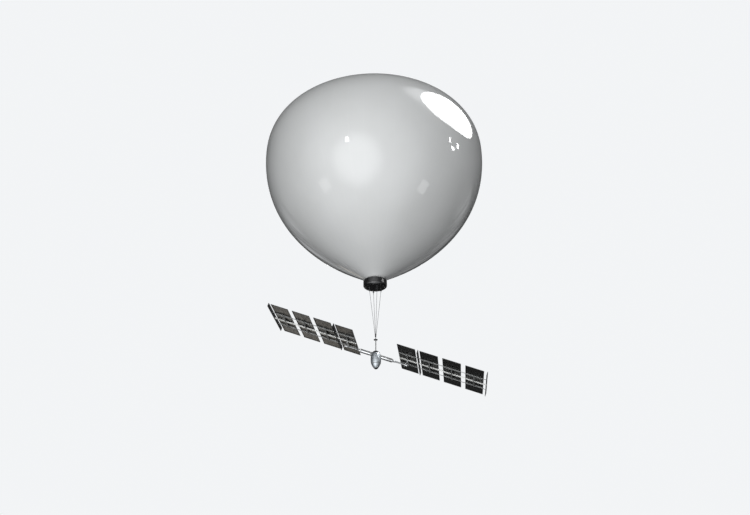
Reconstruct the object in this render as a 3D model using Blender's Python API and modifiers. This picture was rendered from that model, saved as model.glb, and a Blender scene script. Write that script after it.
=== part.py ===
# A stratospheric balloon: a gas-filled envelope carries a small pod and two solar wings.
# Metres, +Z up. The origin is the centre of the envelope's widest circle.
# +X runs along the wings, +Y away from the side that is usually seen.

import math

import bmesh
import bpy
from mathutils import Vector

FIT_GAP = 0.0003

# Envelope
ENVELOPE_RADIUS = 7.50
SHELL_THICKNESS = 0.010
CROWN_HEIGHT = 4.82
CROWN_POWER = 2.38
TAIL_DEPTH = 8.83
NECK_RADIUS = 0.60
TAIL_FULLNESS = 0.687
NECK_HANDLE = (0.48, 0.58)
APEX_HOLE_RADIUS = 0.24
ENVELOPE_SIDES = 40
CROWN_STEPS = 10
TAIL_STEPS = 12

# Apex plate
APEX_PLATE_RADIUS = 0.32
APEX_PLATE_THICKNESS = 0.035

# Load collar
COLLAR_RADIUS = 0.777
COLLAR_HEIGHT = 0.515
COLLAR_WALL = 0.02
COLLAR_MOUTH_RADIUS = 0.50
COLLAR_TOP_ROUND = 0.075
COLLAR_BOTTOM_ROUND = 0.10

# Lines and what they hang between
LINE_COUNT = 4
LINE_RADIUS = 0.010
LINE_END_GAP = 0.0013
LINE_CIRCLE_RADIUS = 0.392
LINE_FIRST_ANGLE = math.radians(22.2)
HANGER_LENGTH = 0.22
GATHER_RADIUS = 0.045
GATHER_CIRCLE_RADIUS = 0.028
GATHER_TOP = 1.296
GATHER_BLOCK_HEIGHT = 0.06
LINK_RADIUS = 0.022

# Heights from here on are above the boom's centre, which hangs this far below the widest circle
BOOM_DEPTH = 14.00
BOOM_SLOPE = math.radians(20.4)

SWIVEL_PLATE_TOP = 1.075
SWIVEL_PLATE_THICKNESS = 0.05
SWIVEL_PLATE_RADIUS = 0.126
MAST_RADIUS = 0.0275
MAST_FOOT_RADIUS = 0.075
MAST_FOOT_HEIGHT = 0.07

# Pod
POD_RADIUS = 0.33
POD_WAIST = -0.31
POD_TOP = 0.29
POD_BOTTOM = -0.885
POD_TOP_POWER = 2.6
POD_BOTTOM_POWER = 1.9
POD_WALL = 0.012
POD_SIDES = 32
CAP_RIM = 0.15
CAP_PROUD = 0.018
CAP_SEAT_RADIUS = 0.09
DECK_TOP = -0.535
DECK_BOTTOM = -0.565
DECK_PROUD = 0.006
BLOCK_RADIUS = 0.20
BLOCK_TOP = -0.24
LOWER_SHELL_END = -0.835
BOSS_PROUD = 0.012
BOSS_FACE_RADIUS = 0.055
BOSS_FACE = -0.905

# Boom: lengths along the boom from its centre
BOOM_RADIUS = 0.105
BOOM_HALF_LENGTH = 1.12
BOOM_END_ROUND = 0.03
BOOM_SIDES = 24
NOSE_LENGTH = 0.21
NOSE_ROOT_RADIUS = 0.085
NOSE_TIP_RADIUS = 0.058
SHAFT_RADIUS = 0.045
SHAFT_BORE_RADIUS = 0.0458
SHAFT_START = 1.17

# Wings
PANEL_COUNT = 4
PANEL_WIDTH = 1.163
PANEL_PITCH = 1.450
PANEL_START = 1.453
PANEL_CHORD = 4.90
PANEL_THICKNESS = 0.035
PANEL_RECESS = 0.022
PANEL_LIP = 0.035
PANEL_HALF_GAP = 0.0305
PANEL_HEIGHT = 0.384

MID_TUBE_RADIUS = 0.0425
MID_TUBE_DROP = 0.030
STRINGER_RADIUS = 0.0225
STRINGER_OFFSET = 0.21 * PANEL_CHORD
RIB_WIDTH = 0.07
RIB_LOW = 0.080
RIB_HIGH = 0.038
RIB_HALF_LENGTH = STRINGER_OFFSET + 0.04
EDGE_RIB_INSET = 0.09
EDGE_RIB_WIDTH = 0.035
SPREADER_WIDTH = 0.03
SPREADER_LOW = 0.115
SPREADER_HIGH = 0.109
SPREADER_LENGTH = 0.94 * PANEL_CHORD
SPREADER_OFFSET_GAP = 0.145
SPREADER_OFFSET_TIP = 0.200
SPREADER_TUBE_END = 0.035

STAR_HUB_RADIUS = 0.065
STAR_HUB_LENGTH = 0.17
STAR_ARM_LENGTH = 0.145
STAR_ARM_RADIUS = 0.020
STAR_POST_RADIUS = 0.028

FINISHES = {
    "envelope film": ((0.55, 0.56, 0.56), 0.38, 0.0),
    "black metal": ((0.035, 0.035, 0.037), 0.42, 0.6),
    "line": ((0.55, 0.56, 0.57), 0.5, 0.0),
    "pod shell": ((0.42, 0.46, 0.50), 0.30, 0.2),
    "bright tube": ((0.72, 0.74, 0.76), 0.25, 0.9),
    "white tube": ((0.78, 0.78, 0.76), 0.45, 0.0),
    "grey frame": ((0.20, 0.21, 0.21), 0.5, 0.5),
    "solar panel": ((0.035, 0.036, 0.036), 0.45, 0.0),
    "dark strip": ((0.02, 0.02, 0.025), 0.45, 0.2),
    "battery": ((0.10, 0.11, 0.12), 0.6, 0.0),
}


def clear_scene():
    for old in list(bpy.data.objects):
        bpy.data.objects.remove(old, do_unlink=True)


def new_collection(name, hidden=False):
    collection = bpy.data.collections.new(name)
    bpy.context.scene.collection.children.link(collection)
    collection.hide_render = hidden
    return collection


def new_material(name, color, roughness, metallic):
    material = bpy.data.materials.new(name)
    material.use_nodes = True
    shader = material.node_tree.nodes["Principled BSDF"]
    shader.inputs["Base Color"].default_value = (*color, 1.0)
    shader.inputs["Roughness"].default_value = roughness
    shader.inputs["Metallic"].default_value = metallic
    return material


clear_scene()
PARTS = new_collection("stratospheric balloon")
HELPERS = new_collection("cutters and joined shapes", hidden=True)


def new_object(name, mesh, finish=None, parent=None, smooth=True):
    """Puts a mesh in the scene: with a finish it is a piece, without one it is a helper."""
    obj = bpy.data.objects.new(name, mesh)
    if finish:
        PARTS.objects.link(obj)
        mesh.materials.append(new_material(name, *FINISHES[finish]))
    else:
        HELPERS.objects.link(obj)
        obj.hide_render = True
        obj.display_type = "WIRE"
    obj.parent = parent
    if smooth and mesh.polygons:
        mesh.shade_smooth()
        mesh.set_sharp_from_angle(angle=math.radians(30))
    return obj


def new_axis(name, location=(0, 0, 0), rotation=(0, 0, 0), parent=None):
    axis = bpy.data.objects.new(name, None)
    PARTS.objects.link(axis)
    axis.location = location
    axis.rotation_euler = rotation
    axis.parent = parent
    return axis


def turned(name, profile, finish=None, sides=32, parent=None):
    """A solid turned about local Z. The profile is (radius, height) from top to bottom."""
    mesh = bpy.data.meshes.new(name)
    points = [(radius, 0, height) for radius, height in profile]
    edges = [(i, i + 1) for i in range(len(points) - 1)]
    mesh.from_pydata(points, edges, [])
    obj = new_object(name, mesh, finish, parent)
    screw = obj.modifiers.new("turn", "SCREW")
    screw.steps = sides
    screw.render_steps = sides
    screw.use_merge_vertices = True
    screw.merge_threshold = 0.0001
    screw.use_smooth_shade = True
    return obj


def ring_closed(profile):
    """Repeats the first point, so that a turned wall closes on itself."""
    return [*profile, profile[0]]


def arc(centre, radius, start, end, steps=5):
    """Points of an arc in the profile's plane. The angles are in degrees, 0 pointing outwards."""
    points = []
    for i in range(steps + 1):
        angle = math.radians(start + (end - start) * i / steps)
        points.append((centre[0] + radius * math.cos(angle), centre[1] + radius * math.sin(angle)))
    return points


def along_x(obj, position=0.0):
    """Lays a turned piece along the boom, its local +Z towards +X."""
    obj.rotation_euler = (0, math.pi / 2, 0)
    obj.location.x = position
    return obj


def box(name, low, high, finish=None, parent=None):
    low, high = Vector(low), Vector(high)
    shape = bmesh.new()
    bmesh.ops.create_cube(shape, size=1.0)
    bmesh.ops.scale(shape, vec=high - low, verts=shape.verts)
    mesh = bpy.data.meshes.new(name)
    shape.to_mesh(mesh)
    shape.free()
    obj = new_object(name, mesh, finish, parent, smooth=False)
    obj.location = (low + high) / 2
    return obj


def rod(name, start, end, radius, finish=None, parent=None, sides=16):
    """A straight round bar between two points."""
    start, end = Vector(start), Vector(end)
    shape = bmesh.new()
    bmesh.ops.create_cone(
        shape, cap_ends=True, segments=sides, radius1=radius, radius2=radius, depth=(end - start).length
    )
    mesh = bpy.data.meshes.new(name)
    shape.to_mesh(mesh)
    shape.free()
    obj = new_object(name, mesh, finish, parent)
    obj.location = (start + end) / 2
    obj.rotation_euler = (end - start).to_track_quat("Z", "Y").to_euler()
    return obj


def boolean(obj, other, operation):
    modifier = obj.modifiers.new(other.name, "BOOLEAN")
    modifier.operation = operation
    modifier.solver = "EXACT"
    modifier.object = other


def envelope_outline():
    """The envelope's outline from crown to neck: a flattened dome, then one long curve to the neck."""
    hole_cos = (APEX_HOLE_RADIUS / ENVELOPE_RADIUS) ** (CROWN_POWER / 2)
    start = math.acos(hole_cos)
    points = []
    for i in range(CROWN_STEPS + 1):
        angle = start * (1 - i / CROWN_STEPS)
        radius = ENVELOPE_RADIUS * math.cos(angle) ** (2 / CROWN_POWER)
        height = CROWN_HEIGHT * math.sin(angle) ** (2 / CROWN_POWER)
        points.append((radius, height))
    p0 = Vector((ENVELOPE_RADIUS, 0))
    p1 = Vector((ENVELOPE_RADIUS, -TAIL_FULLNESS * TAIL_DEPTH))
    p2 = Vector((NECK_RADIUS + NECK_HANDLE[0], -TAIL_DEPTH + NECK_HANDLE[1]))
    p3 = Vector((NECK_RADIUS, -TAIL_DEPTH))
    for i in range(1, TAIL_STEPS + 1):
        t = i / TAIL_STEPS
        point = (1 - t) ** 3 * p0 + 3 * t * (1 - t) ** 2 * p1 + 3 * t * t * (1 - t) * p2 + t**3 * p3
        points.append(tuple(point))
    return points


def make_envelope():
    envelope = turned("envelope", envelope_outline(), "envelope film", ENVELOPE_SIDES)
    wall = envelope.modifiers.new("film", "SOLIDIFY")
    wall.thickness = SHELL_THICKNESS
    wall.offset = -1
    wall.use_even_offset = True


def make_apex_plate():
    outline = envelope_outline()
    seat = outline[0][1] + FIT_GAP
    spigot = APEX_HOLE_RADIUS - 0.005
    turned(
        "apex_plate",
        [
            (0, seat + APEX_PLATE_THICKNESS),
            (APEX_PLATE_RADIUS - 0.02, seat + APEX_PLATE_THICKNESS),
            (APEX_PLATE_RADIUS, seat + APEX_PLATE_THICKNESS - 0.015),
            (APEX_PLATE_RADIUS, seat),
            (spigot, seat),
            (spigot, seat - 0.03),
            (0, seat - 0.03),
        ],
        "black metal",
        ENVELOPE_SIDES,
    )


COLLAR_TOP = -TAIL_DEPTH - FIT_GAP
COLLAR_BOTTOM = COLLAR_TOP - COLLAR_HEIGHT


def make_collar():
    """A hollow drum under the neck: the neck stands on its lid, and the gas reaches its inside."""
    outer = arc(
        (COLLAR_RADIUS - COLLAR_TOP_ROUND, COLLAR_TOP - COLLAR_TOP_ROUND), COLLAR_TOP_ROUND, 90, 0
    )
    outer += arc(
        (COLLAR_RADIUS - COLLAR_BOTTOM_ROUND, COLLAR_BOTTOM + COLLAR_BOTTOM_ROUND),
        COLLAR_BOTTOM_ROUND, 0, -90,
    )
    inside = COLLAR_RADIUS - COLLAR_WALL
    inner = [
        (0, COLLAR_BOTTOM + COLLAR_WALL),
        (inside - COLLAR_BOTTOM_ROUND, COLLAR_BOTTOM + COLLAR_WALL),
        (inside, COLLAR_BOTTOM + COLLAR_BOTTOM_ROUND),
        (inside, COLLAR_TOP - COLLAR_TOP_ROUND),
        (inside - COLLAR_TOP_ROUND, COLLAR_TOP - COLLAR_WALL),
        (COLLAR_MOUTH_RADIUS, COLLAR_TOP - COLLAR_WALL),
    ]
    profile = [*inner, (COLLAR_MOUTH_RADIUS, COLLAR_TOP), *outer, (0, COLLAR_BOTTOM)]
    turned("load_collar", profile, "black metal", 36)


def line_angle(index):
    return LINE_FIRST_ANGLE + index * 2 * math.pi / LINE_COUNT


def make_hanger(index):
    """A flanged knob under the collar, with the line's eye at its foot."""
    angle = line_angle(index)
    eye = (0.0, -HANGER_LENGTH + 0.045)
    profile = [
        (0, -FIT_GAP), (0.07, -FIT_GAP), (0.07, -0.025), (0.034, -0.04), (0.030, -0.12),
        *arc(eye, 0.05, 50, -55, 6),
    ]
    foot = profile[-1][1]
    profile.append((0, foot))
    hanger = turned(f"line_hanger_{index + 1}", profile, "black metal", 20)
    hanger.location = (
        LINE_CIRCLE_RADIUS * math.cos(angle), LINE_CIRCLE_RADIUS * math.sin(angle), COLLAR_BOTTOM
    )
    return foot


def make_line(index, hanger_foot):
    angle = line_angle(index)
    outwards = Vector((math.cos(angle), math.sin(angle), 0))
    top = outwards * LINE_CIRCLE_RADIUS + Vector((0, 0, COLLAR_BOTTOM + hanger_foot - LINE_END_GAP))
    bottom = outwards * GATHER_CIRCLE_RADIUS + Vector((0, 0, GATHER_TOP - BOOM_DEPTH + LINE_END_GAP))
    rod(f"suspension_line_{index + 1}", top, bottom, LINE_RADIUS, "line", sides=10)


def make_gather_link(boom_level):
    block_foot = GATHER_TOP - GATHER_BLOCK_HEIGHT
    turned(
        "gather_link",
        [
            (0, GATHER_TOP), (GATHER_RADIUS, GATHER_TOP), (GATHER_RADIUS, block_foot),
            (LINK_RADIUS, block_foot - 0.03), (LINK_RADIUS, SWIVEL_PLATE_TOP + FIT_GAP),
            (0, SWIVEL_PLATE_TOP + FIT_GAP),
        ],
        "line", 20, boom_level,
    )


def make_swivel_and_mast(pod_axis):
    plate_foot = SWIVEL_PLATE_TOP - SWIVEL_PLATE_THICKNESS
    turned(
        "swivel_plate",
        [
            (0, SWIVEL_PLATE_TOP), (SWIVEL_PLATE_RADIUS - 0.012, SWIVEL_PLATE_TOP),
            (SWIVEL_PLATE_RADIUS, SWIVEL_PLATE_TOP - 0.012), (SWIVEL_PLATE_RADIUS, plate_foot + 0.012),
            (SWIVEL_PLATE_RADIUS - 0.012, plate_foot), (0, plate_foot),
        ],
        "black metal", 32, pod_axis,
    )
    foot = POD_TOP + FIT_GAP
    turned(
        "mast",
        [
            (0, plate_foot - FIT_GAP), (MAST_RADIUS, plate_foot - FIT_GAP),
            (MAST_RADIUS, foot + MAST_FOOT_HEIGHT), (MAST_FOOT_RADIUS * 0.6, foot + 0.03),
            (MAST_FOOT_RADIUS, foot + 0.015), (MAST_FOOT_RADIUS, foot), (0, foot),
        ],
        "grey frame", 24, pod_axis,
    )


def pod_radius(height):
    """The egg's radius at a height: two unlike half ovals that meet at the waist."""
    if height >= POD_WAIST:
        share, power = (height - POD_WAIST) / (POD_TOP - POD_WAIST), POD_TOP_POWER
    else:
        share, power = (POD_WAIST - height) / (POD_WAIST - POD_BOTTOM), POD_BOTTOM_POWER
    return POD_RADIUS * max(0.0, 1 - share**power) ** (1 / power)


def pod_stretch(top, bottom, offset, steps):
    """Points on the egg from one height down to another, moved outwards by an offset."""
    heights = [top + (bottom - top) * i / steps for i in range(steps + 1)]
    return [(pod_radius(height) + offset, height) for height in heights]


def make_pod(pod_axis, boom_cutter):
    upper_top, upper_foot = CAP_RIM - FIT_GAP, DECK_TOP + FIT_GAP
    outside = pod_stretch(upper_top, upper_foot, 0, 10)
    inside = pod_stretch(upper_foot, upper_top, -POD_WALL, 10)
    upper = turned(
        "pod_upper_shell", ring_closed([*outside, *inside]), "pod shell", POD_SIDES, pod_axis
    )
    boolean(upper, boom_cutter, "DIFFERENCE")

    crown = [(0, POD_TOP), (CAP_SEAT_RADIUS, POD_TOP)]
    steps = 5
    for i in range(1, steps + 1):
        share = i / steps
        height = POD_TOP - (POD_TOP - CAP_RIM) * share**1.6
        limit = pod_radius(CAP_RIM) + CAP_PROUD
        crown.append((CAP_SEAT_RADIUS + (limit - CAP_SEAT_RADIUS) * share, height))
    under = [(radius - 0.02, height - 0.02) for radius, height in crown[-2:0:-1]]
    lip = [(crown[-1][0] - 0.03, CAP_RIM)]
    cap = turned(
        "pod_cap", [*crown, *lip, *under, (0, POD_TOP - 0.02)], "black metal", POD_SIDES, pod_axis
    )
    boolean(cap, boom_cutter, "DIFFERENCE")

    rim = pod_radius((DECK_TOP + DECK_BOTTOM) / 2) + DECK_PROUD
    turned(
        "equipment_deck",
        [(0, DECK_TOP), (rim - 0.004, DECK_TOP), (rim, DECK_TOP - 0.004), (rim, DECK_BOTTOM + 0.004),
         (rim - 0.004, DECK_BOTTOM), (0, DECK_BOTTOM)],
        "grey frame", POD_SIDES, pod_axis,
    )
    turned(
        "equipment_block",
        [(0, BLOCK_TOP), (BLOCK_RADIUS, BLOCK_TOP), (BLOCK_RADIUS, DECK_TOP + FIT_GAP),
         (0, DECK_TOP + FIT_GAP)],
        "battery", 24, pod_axis,
    )

    lower_top = DECK_BOTTOM - FIT_GAP
    outside = pod_stretch(lower_top, LOWER_SHELL_END, 0, 9)
    inside = pod_stretch(LOWER_SHELL_END + POD_WALL, lower_top, -POD_WALL, 8)
    turned(
        "pod_lower_shell",
        [(0, LOWER_SHELL_END + POD_WALL), *inside, *outside, (0, LOWER_SHELL_END)],
        "pod shell", POD_SIDES, pod_axis,
    )
    boss_top = LOWER_SHELL_END - FIT_GAP
    root = pod_radius(LOWER_SHELL_END) + BOSS_PROUD
    turned(
        "payload_boss",
        [(0, boss_top), (root, boss_top), (root, boss_top - 0.012), (root - 0.03, boss_top - 0.035),
         (BOSS_FACE_RADIUS, BOSS_FACE), (0, BOSS_FACE)],
        "black metal", 32, pod_axis,
    )


def boom_profile(radius):
    end, rounding = BOOM_HALF_LENGTH, BOOM_END_ROUND
    top = arc((radius - rounding, end - rounding), rounding, 90, 0, 4)
    bottom = arc((radius - rounding, rounding - end), rounding, 0, -90, 4)
    return [(0, end), *top, *bottom, (0, -end)]


def make_boom(boom_axis):
    along_x(turned("boom_tube", boom_profile(BOOM_RADIUS), "bright tube", BOOM_SIDES, boom_axis))


def make_boom_cutter(boom_axis):
    """The boom's own outline with the fit gap all round, to open the pod where the boom passes."""
    return along_x(turned("boom_passage", boom_profile(BOOM_RADIUS + FIT_GAP), None, BOOM_SIDES, boom_axis))


def make_nose(side, boom_axis):
    """The drive at the boom's end: a short cone, bored for the wing's shaft."""
    root, tip = BOOM_HALF_LENGTH + FIT_GAP, BOOM_HALF_LENGTH + NOSE_LENGTH
    bore_end = SHAFT_START - 0.01
    profile = [
        (SHAFT_BORE_RADIUS, tip), (NOSE_TIP_RADIUS, tip), (NOSE_TIP_RADIUS, tip - 0.03),
        (NOSE_ROOT_RADIUS, root + 0.06), (NOSE_ROOT_RADIUS, root), (0, root),
    ]
    profile = [(0, bore_end), (SHAFT_BORE_RADIUS, bore_end), *profile]
    nose = along_x(turned(f"drive_nose_{side}", profile, "bright tube", BOOM_SIDES, boom_axis))
    if side == "left":
        nose.rotation_euler.y = -math.pi / 2


PANEL_MIDDLES = [PANEL_START + PANEL_PITCH * i + PANEL_WIDTH / 2 for i in range(PANEL_COUNT)]
WING_TIP = PANEL_START + PANEL_PITCH * (PANEL_COUNT - 1) + PANEL_WIDTH


def span(side, low, high):
    """Turns two distances from the pod into low and high X on that side's wing."""
    return (low, high) if side == "right" else (-high, -low)


def make_shaft(side, wing):
    end = PANEL_MIDDLES[0] - STAR_HUB_LENGTH / 2 - FIT_GAP
    low, high = span(side, SHAFT_START, end)
    rod(f"wing_shaft_{side}", (low, 0, 0), (high, 0, 0), SHAFT_RADIUS, "bright tube", wing, 24)


def make_star(side, wing):
    """The bracket on the shaft's end: a hub, four short arms and a post up to the wing's frame."""
    middle = PANEL_MIDDLES[0] if side == "right" else -PANEL_MIDDLES[0]
    half = STAR_HUB_LENGTH / 2
    star = rod(
        f"star_bracket_{side}", (middle - half, 0, 0), (middle + half, 0, 0),
        STAR_HUB_RADIUS, "bright tube", wing, 20,
    )
    post_top = PANEL_HEIGHT - RIB_LOW - FIT_GAP
    post = rod(f"{side} post", (middle, 0, 0), (middle, 0, post_top), STAR_POST_RADIUS, None, wing)
    boolean(star, post, "UNION")
    reach = STAR_ARM_LENGTH / math.sqrt(2)
    for number, (x, z) in enumerate(((1, 1), (1, -1), (-1, 1), (-1, -1))):
        end = (middle + x * reach, 0, z * reach)
        arm = rod(f"{side} arm {number}", (middle, 0, 0), end, STAR_ARM_RADIUS, None, wing, 10)
        boolean(star, arm, "UNION")


def make_frame(side, wing):
    """Mid tube, stringers and ribs, all one welded frame under the panels."""
    start, end = PANEL_START + 0.01, WING_TIP + SPREADER_OFFSET_TIP + SPREADER_TUBE_END
    low, high = span(side, start, end)
    level = PANEL_HEIGHT - MID_TUBE_DROP
    frame = rod(
        f"wing_frame_{side}", (low, 0, level), (high, 0, level), MID_TUBE_RADIUS, "white tube", wing, 20
    )
    level = PANEL_HEIGHT - STRINGER_RADIUS - FIT_GAP
    for number, y in enumerate((-STRINGER_OFFSET, STRINGER_OFFSET)):
        stringer = rod(
            f"{side} stringer {number}", (low, y, level), (high, y, level), STRINGER_RADIUS, None, wing, 12
        )
        boolean(frame, stringer, "UNION")
    ribs = [(middle, RIB_WIDTH) for middle in PANEL_MIDDLES]
    ribs.append((PANEL_START + EDGE_RIB_INSET, EDGE_RIB_WIDTH))
    for number, (middle, width) in enumerate(ribs):
        low, high = span(side, middle - width / 2, middle + width / 2)
        rib = box(
            f"{side} rib {number}", (low, -RIB_HALF_LENGTH, PANEL_HEIGHT - RIB_LOW),
            (high, RIB_HALF_LENGTH, PANEL_HEIGHT - RIB_HIGH), None, wing,
        )
        boolean(frame, rib, "UNION")


def make_panel(side, number, half, wing):
    """One half panel: a flat tray whose lip hangs down all round its underside."""
    start = PANEL_START + PANEL_PITCH * number
    low_x, high_x = span(side, start, start + PANEL_WIDTH)
    near, far = PANEL_HALF_GAP, PANEL_CHORD / 2
    low_y, high_y = (near, far) if half == "far" else (-far, -near)
    panel = box(
        f"panel_{side}_{number + 1}_{half}", (low_x, low_y, PANEL_HEIGHT),
        (high_x, high_y, PANEL_HEIGHT + PANEL_THICKNESS), "solar panel", wing,
    )
    shape = bmesh.new()
    shape.from_mesh(panel.data)
    underside = [face for face in shape.faces if face.normal.z < -0.9]
    bmesh.ops.inset_region(shape, faces=underside, thickness=PANEL_LIP)
    bmesh.ops.translate(shape, vec=(0, 0, PANEL_RECESS), verts=underside[0].verts)
    shape.to_mesh(panel.data)
    shape.free()


def make_spreaders(side, wing):
    """Upright beams across the wing, which the mid tube and both stringers run through."""
    inner = PANEL_START + PANEL_WIDTH + SPREADER_OFFSET_GAP
    outer = WING_TIP + SPREADER_OFFSET_TIP
    stringer_level = PANEL_HEIGHT - STRINGER_RADIUS - FIT_GAP
    tubes = [(0.0, PANEL_HEIGHT - MID_TUBE_DROP, MID_TUBE_RADIUS, 20)]
    tubes += [(y, stringer_level, STRINGER_RADIUS, 12) for y in (-STRINGER_OFFSET, STRINGER_OFFSET)]
    for place, middle in (("inner", inner), ("tip", outer)):
        low, high = span(side, middle - SPREADER_WIDTH / 2, middle + SPREADER_WIDTH / 2)
        bar = box(
            f"spreader_bar_{side}_{place}", (low, -SPREADER_LENGTH / 2, PANEL_HEIGHT - SPREADER_LOW),
            (high, SPREADER_LENGTH / 2, PANEL_HEIGHT + SPREADER_HIGH), "dark strip", wing,
        )
        for number, (y, level, radius, sides) in enumerate(tubes):
            hole = rod(
                f"{side} {place} hole {number}", (low - 0.1, y, level), (high + 0.1, y, level),
                radius + FIT_GAP, None, wing, sides,
            )
            boolean(bar, hole, "DIFFERENCE")


def main():
    make_envelope()
    make_apex_plate()
    make_collar()
    for index in range(LINE_COUNT):
        make_line(index, make_hanger(index))

    boom_level = new_axis("boom level", (0, 0, -BOOM_DEPTH))
    make_gather_link(boom_level)
    pod_axis = new_axis("pod swivel axis", parent=boom_level)
    boom_axis = new_axis("boom axis", rotation=(0, BOOM_SLOPE, 0), parent=pod_axis)
    make_swivel_and_mast(pod_axis)
    make_pod(pod_axis, make_boom_cutter(boom_axis))
    make_boom(boom_axis)
    for side in ("left", "right"):
        make_nose(side, boom_axis)
        wing = new_axis(f"wing axis {side}", parent=boom_axis)
        make_shaft(side, wing)
        make_star(side, wing)
        make_frame(side, wing)
        for number in range(PANEL_COUNT):
            for half in ("near", "far"):
                make_panel(side, number, half, wing)
        make_spreaders(side, wing)


main()
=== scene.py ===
# %% [markdown]
# A solar powered stratospheric balloon, dressed for its picture.
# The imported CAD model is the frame: every solid is already in its place, in metres, with +Z up
# and +X along the wings. This lesson models each piece again with its fine detail, right where
# the plain solid sits, and lets it ride on the same moving body.

# %% Load the frame
import math

import bpy
from mathutils import Matrix, Vector


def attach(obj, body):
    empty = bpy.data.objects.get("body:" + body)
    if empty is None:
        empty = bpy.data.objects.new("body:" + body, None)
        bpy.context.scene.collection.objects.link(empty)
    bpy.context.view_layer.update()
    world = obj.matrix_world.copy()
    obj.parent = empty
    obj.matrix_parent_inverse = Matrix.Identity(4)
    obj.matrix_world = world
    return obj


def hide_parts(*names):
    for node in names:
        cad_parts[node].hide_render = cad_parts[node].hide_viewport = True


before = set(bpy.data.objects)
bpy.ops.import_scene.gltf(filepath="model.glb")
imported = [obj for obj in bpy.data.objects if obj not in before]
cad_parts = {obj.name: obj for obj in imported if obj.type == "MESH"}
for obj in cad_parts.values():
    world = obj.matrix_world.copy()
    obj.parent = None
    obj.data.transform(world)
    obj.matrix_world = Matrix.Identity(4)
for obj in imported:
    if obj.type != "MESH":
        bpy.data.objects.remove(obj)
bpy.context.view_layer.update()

# %% [markdown]
# The pod, its boom and the wings hang a long way under the envelope, and the boom slopes.
# It is far easier to model a wing lying level at the origin and then send it home with one
# matrix, so the homes are kept here as matrices. Pieces that touch keep the CAD's small gap.


# %% Turns, shifts and homes
def turn(angle, axis="Z"):
    return Matrix.Rotation(angle, 4, axis)


def shift(x=0.0, y=0.0, z=0.0):
    return Matrix.Translation((x, y, z))


BOOM_DEPTH, BOOM_SLOPE, GAP = 14.0, math.radians(20.4), 0.0003
SLOPE = turn(BOOM_SLOPE, "Y")
UNMOVED, LEVEL = Matrix.Identity(4), shift(z=-BOOM_DEPTH)
ALONG = LEVEL @ SLOPE
print("boom centre is", BOOM_DEPTH, "m under the envelope's widest circle")

# %% [markdown]
# The picture was taken from the ground side, looking up at about 25 degrees with a short
# telephoto. The camera's place was found by fitting the corners of all sixteen panels and the
# envelope's outline, so the numbers are angles, a distance and the point it aims at.

# %% Camera
VIEW_AZIMUTH, VIEW_RISE = math.radians(4.896), math.radians(24.516)
VIEW_ROLL = math.radians(-0.524)
FOCAL_PIXELS, PICTURE_WIDTH, SENSOR_WIDTH = 905.0, 750.0, 36.0
BOOM_PIXEL, DISTANCE, FARTHEST = (0.808, -97.984), 57.414, 2000.0


def into_scene(name, data):
    thing = bpy.data.objects.new(name, data)
    bpy.context.scene.collection.objects.link(thing)
    return thing


def make_camera():
    side = Vector((math.cos(VIEW_AZIMUTH), math.sin(VIEW_AZIMUTH), 0))
    away = Vector((-side.y, side.x, 0))
    forward = away * math.cos(VIEW_RISE) + Vector((0, 0, math.sin(VIEW_RISE)))
    upward = Vector((0, 0, math.cos(VIEW_RISE))) - away * math.sin(VIEW_RISE)
    right = side * math.cos(VIEW_ROLL) + upward * math.sin(VIEW_ROLL)
    top = upward * math.cos(VIEW_ROLL) - side * math.sin(VIEW_ROLL)
    across, up = (value / FOCAL_PIXELS for value in BOOM_PIXEL)
    place = LEVEL.translation - (right * across + top * up + forward) * DISTANCE
    data = bpy.data.cameras.new("camera")
    data.sensor_width, data.clip_end = SENSOR_WIDTH, FARTHEST
    data.lens = SENSOR_WIDTH * FOCAL_PIXELS / PICTURE_WIDTH
    made = into_scene("camera", data)
    facing = Matrix((right, top, -forward)).transposed().to_4x4()
    made.matrix_world = Matrix.Translation(place) @ facing
    bpy.context.scene.camera = made
    return made


camera = make_camera()
print("camera stands at", [round(x, 2) for x in camera.location])

# %% [markdown]
# Modelling is a chain of a few moves that come back all the time: pick exactly one object,
# add a primitive at its size and place, round its edges, copy it, join the copies.
# Blender's operators act on everything that is selected, and the frame's nodes start selected,
# so each helper clears the selection first.


# %% Picking and rounding
def only(*things):
    """Selects these objects and nothing else. The last one becomes active."""
    bpy.ops.object.select_all(action="DESELECT")
    for thing in things:
        thing.select_set(True)
    bpy.context.view_layer.objects.active = things[-1]


def with_modifier(thing, kind, **settings):
    """Adds a modifier, sets it and applies it at once."""
    only(thing)
    bpy.ops.object.modifier_add(type=kind)
    modifier = thing.modifiers[-1]
    for key, value in settings.items():
        setattr(modifier, key, value)
    bpy.ops.object.modifier_apply(modifier=modifier.name)
    return thing


def soften(thing, width, segments=2, angle=40):
    """Rounds the edges that are sharper than the angle. A width of 0 leaves them sharp."""
    if not width:
        return thing
    return with_modifier(
        thing, "BEVEL", width=width, segments=segments, limit_method="ANGLE",
        angle_limit=math.radians(angle), use_clamp_overlap=True,
    )


def drilled(thing, drill):
    """Cuts one shape out of another and throws the drill away."""
    with_modifier(thing, "BOOLEAN", operation="DIFFERENCE", solver="EXACT", object=drill)
    bpy.data.objects.remove(drill)
    return thing


# %% Moving, copying and joining
def put(thing, *moves):
    """Moves a mesh by matrices, one after the other. The object stays at the origin."""
    for move in moves:
        thing.data.transform(move)
    return thing


def joined(things):
    only(*things)
    if len(things) > 1:
        bpy.ops.object.join()
    return bpy.context.object


def copies(thing, moves):
    """Copies a shape once for each matrix, every copy with its own mesh, and joins them."""
    made = []
    for move in moves:
        only(thing)
        bpy.ops.object.duplicate(linked=False)
        made.append(put(bpy.context.object, move))
    bpy.data.objects.remove(thing)
    return joined(made)


def around(count, first=0.0):
    """Matrices that turn a shape round Z in equal steps."""
    return [turn(first + math.tau * i / count) for i in range(count)]


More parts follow.
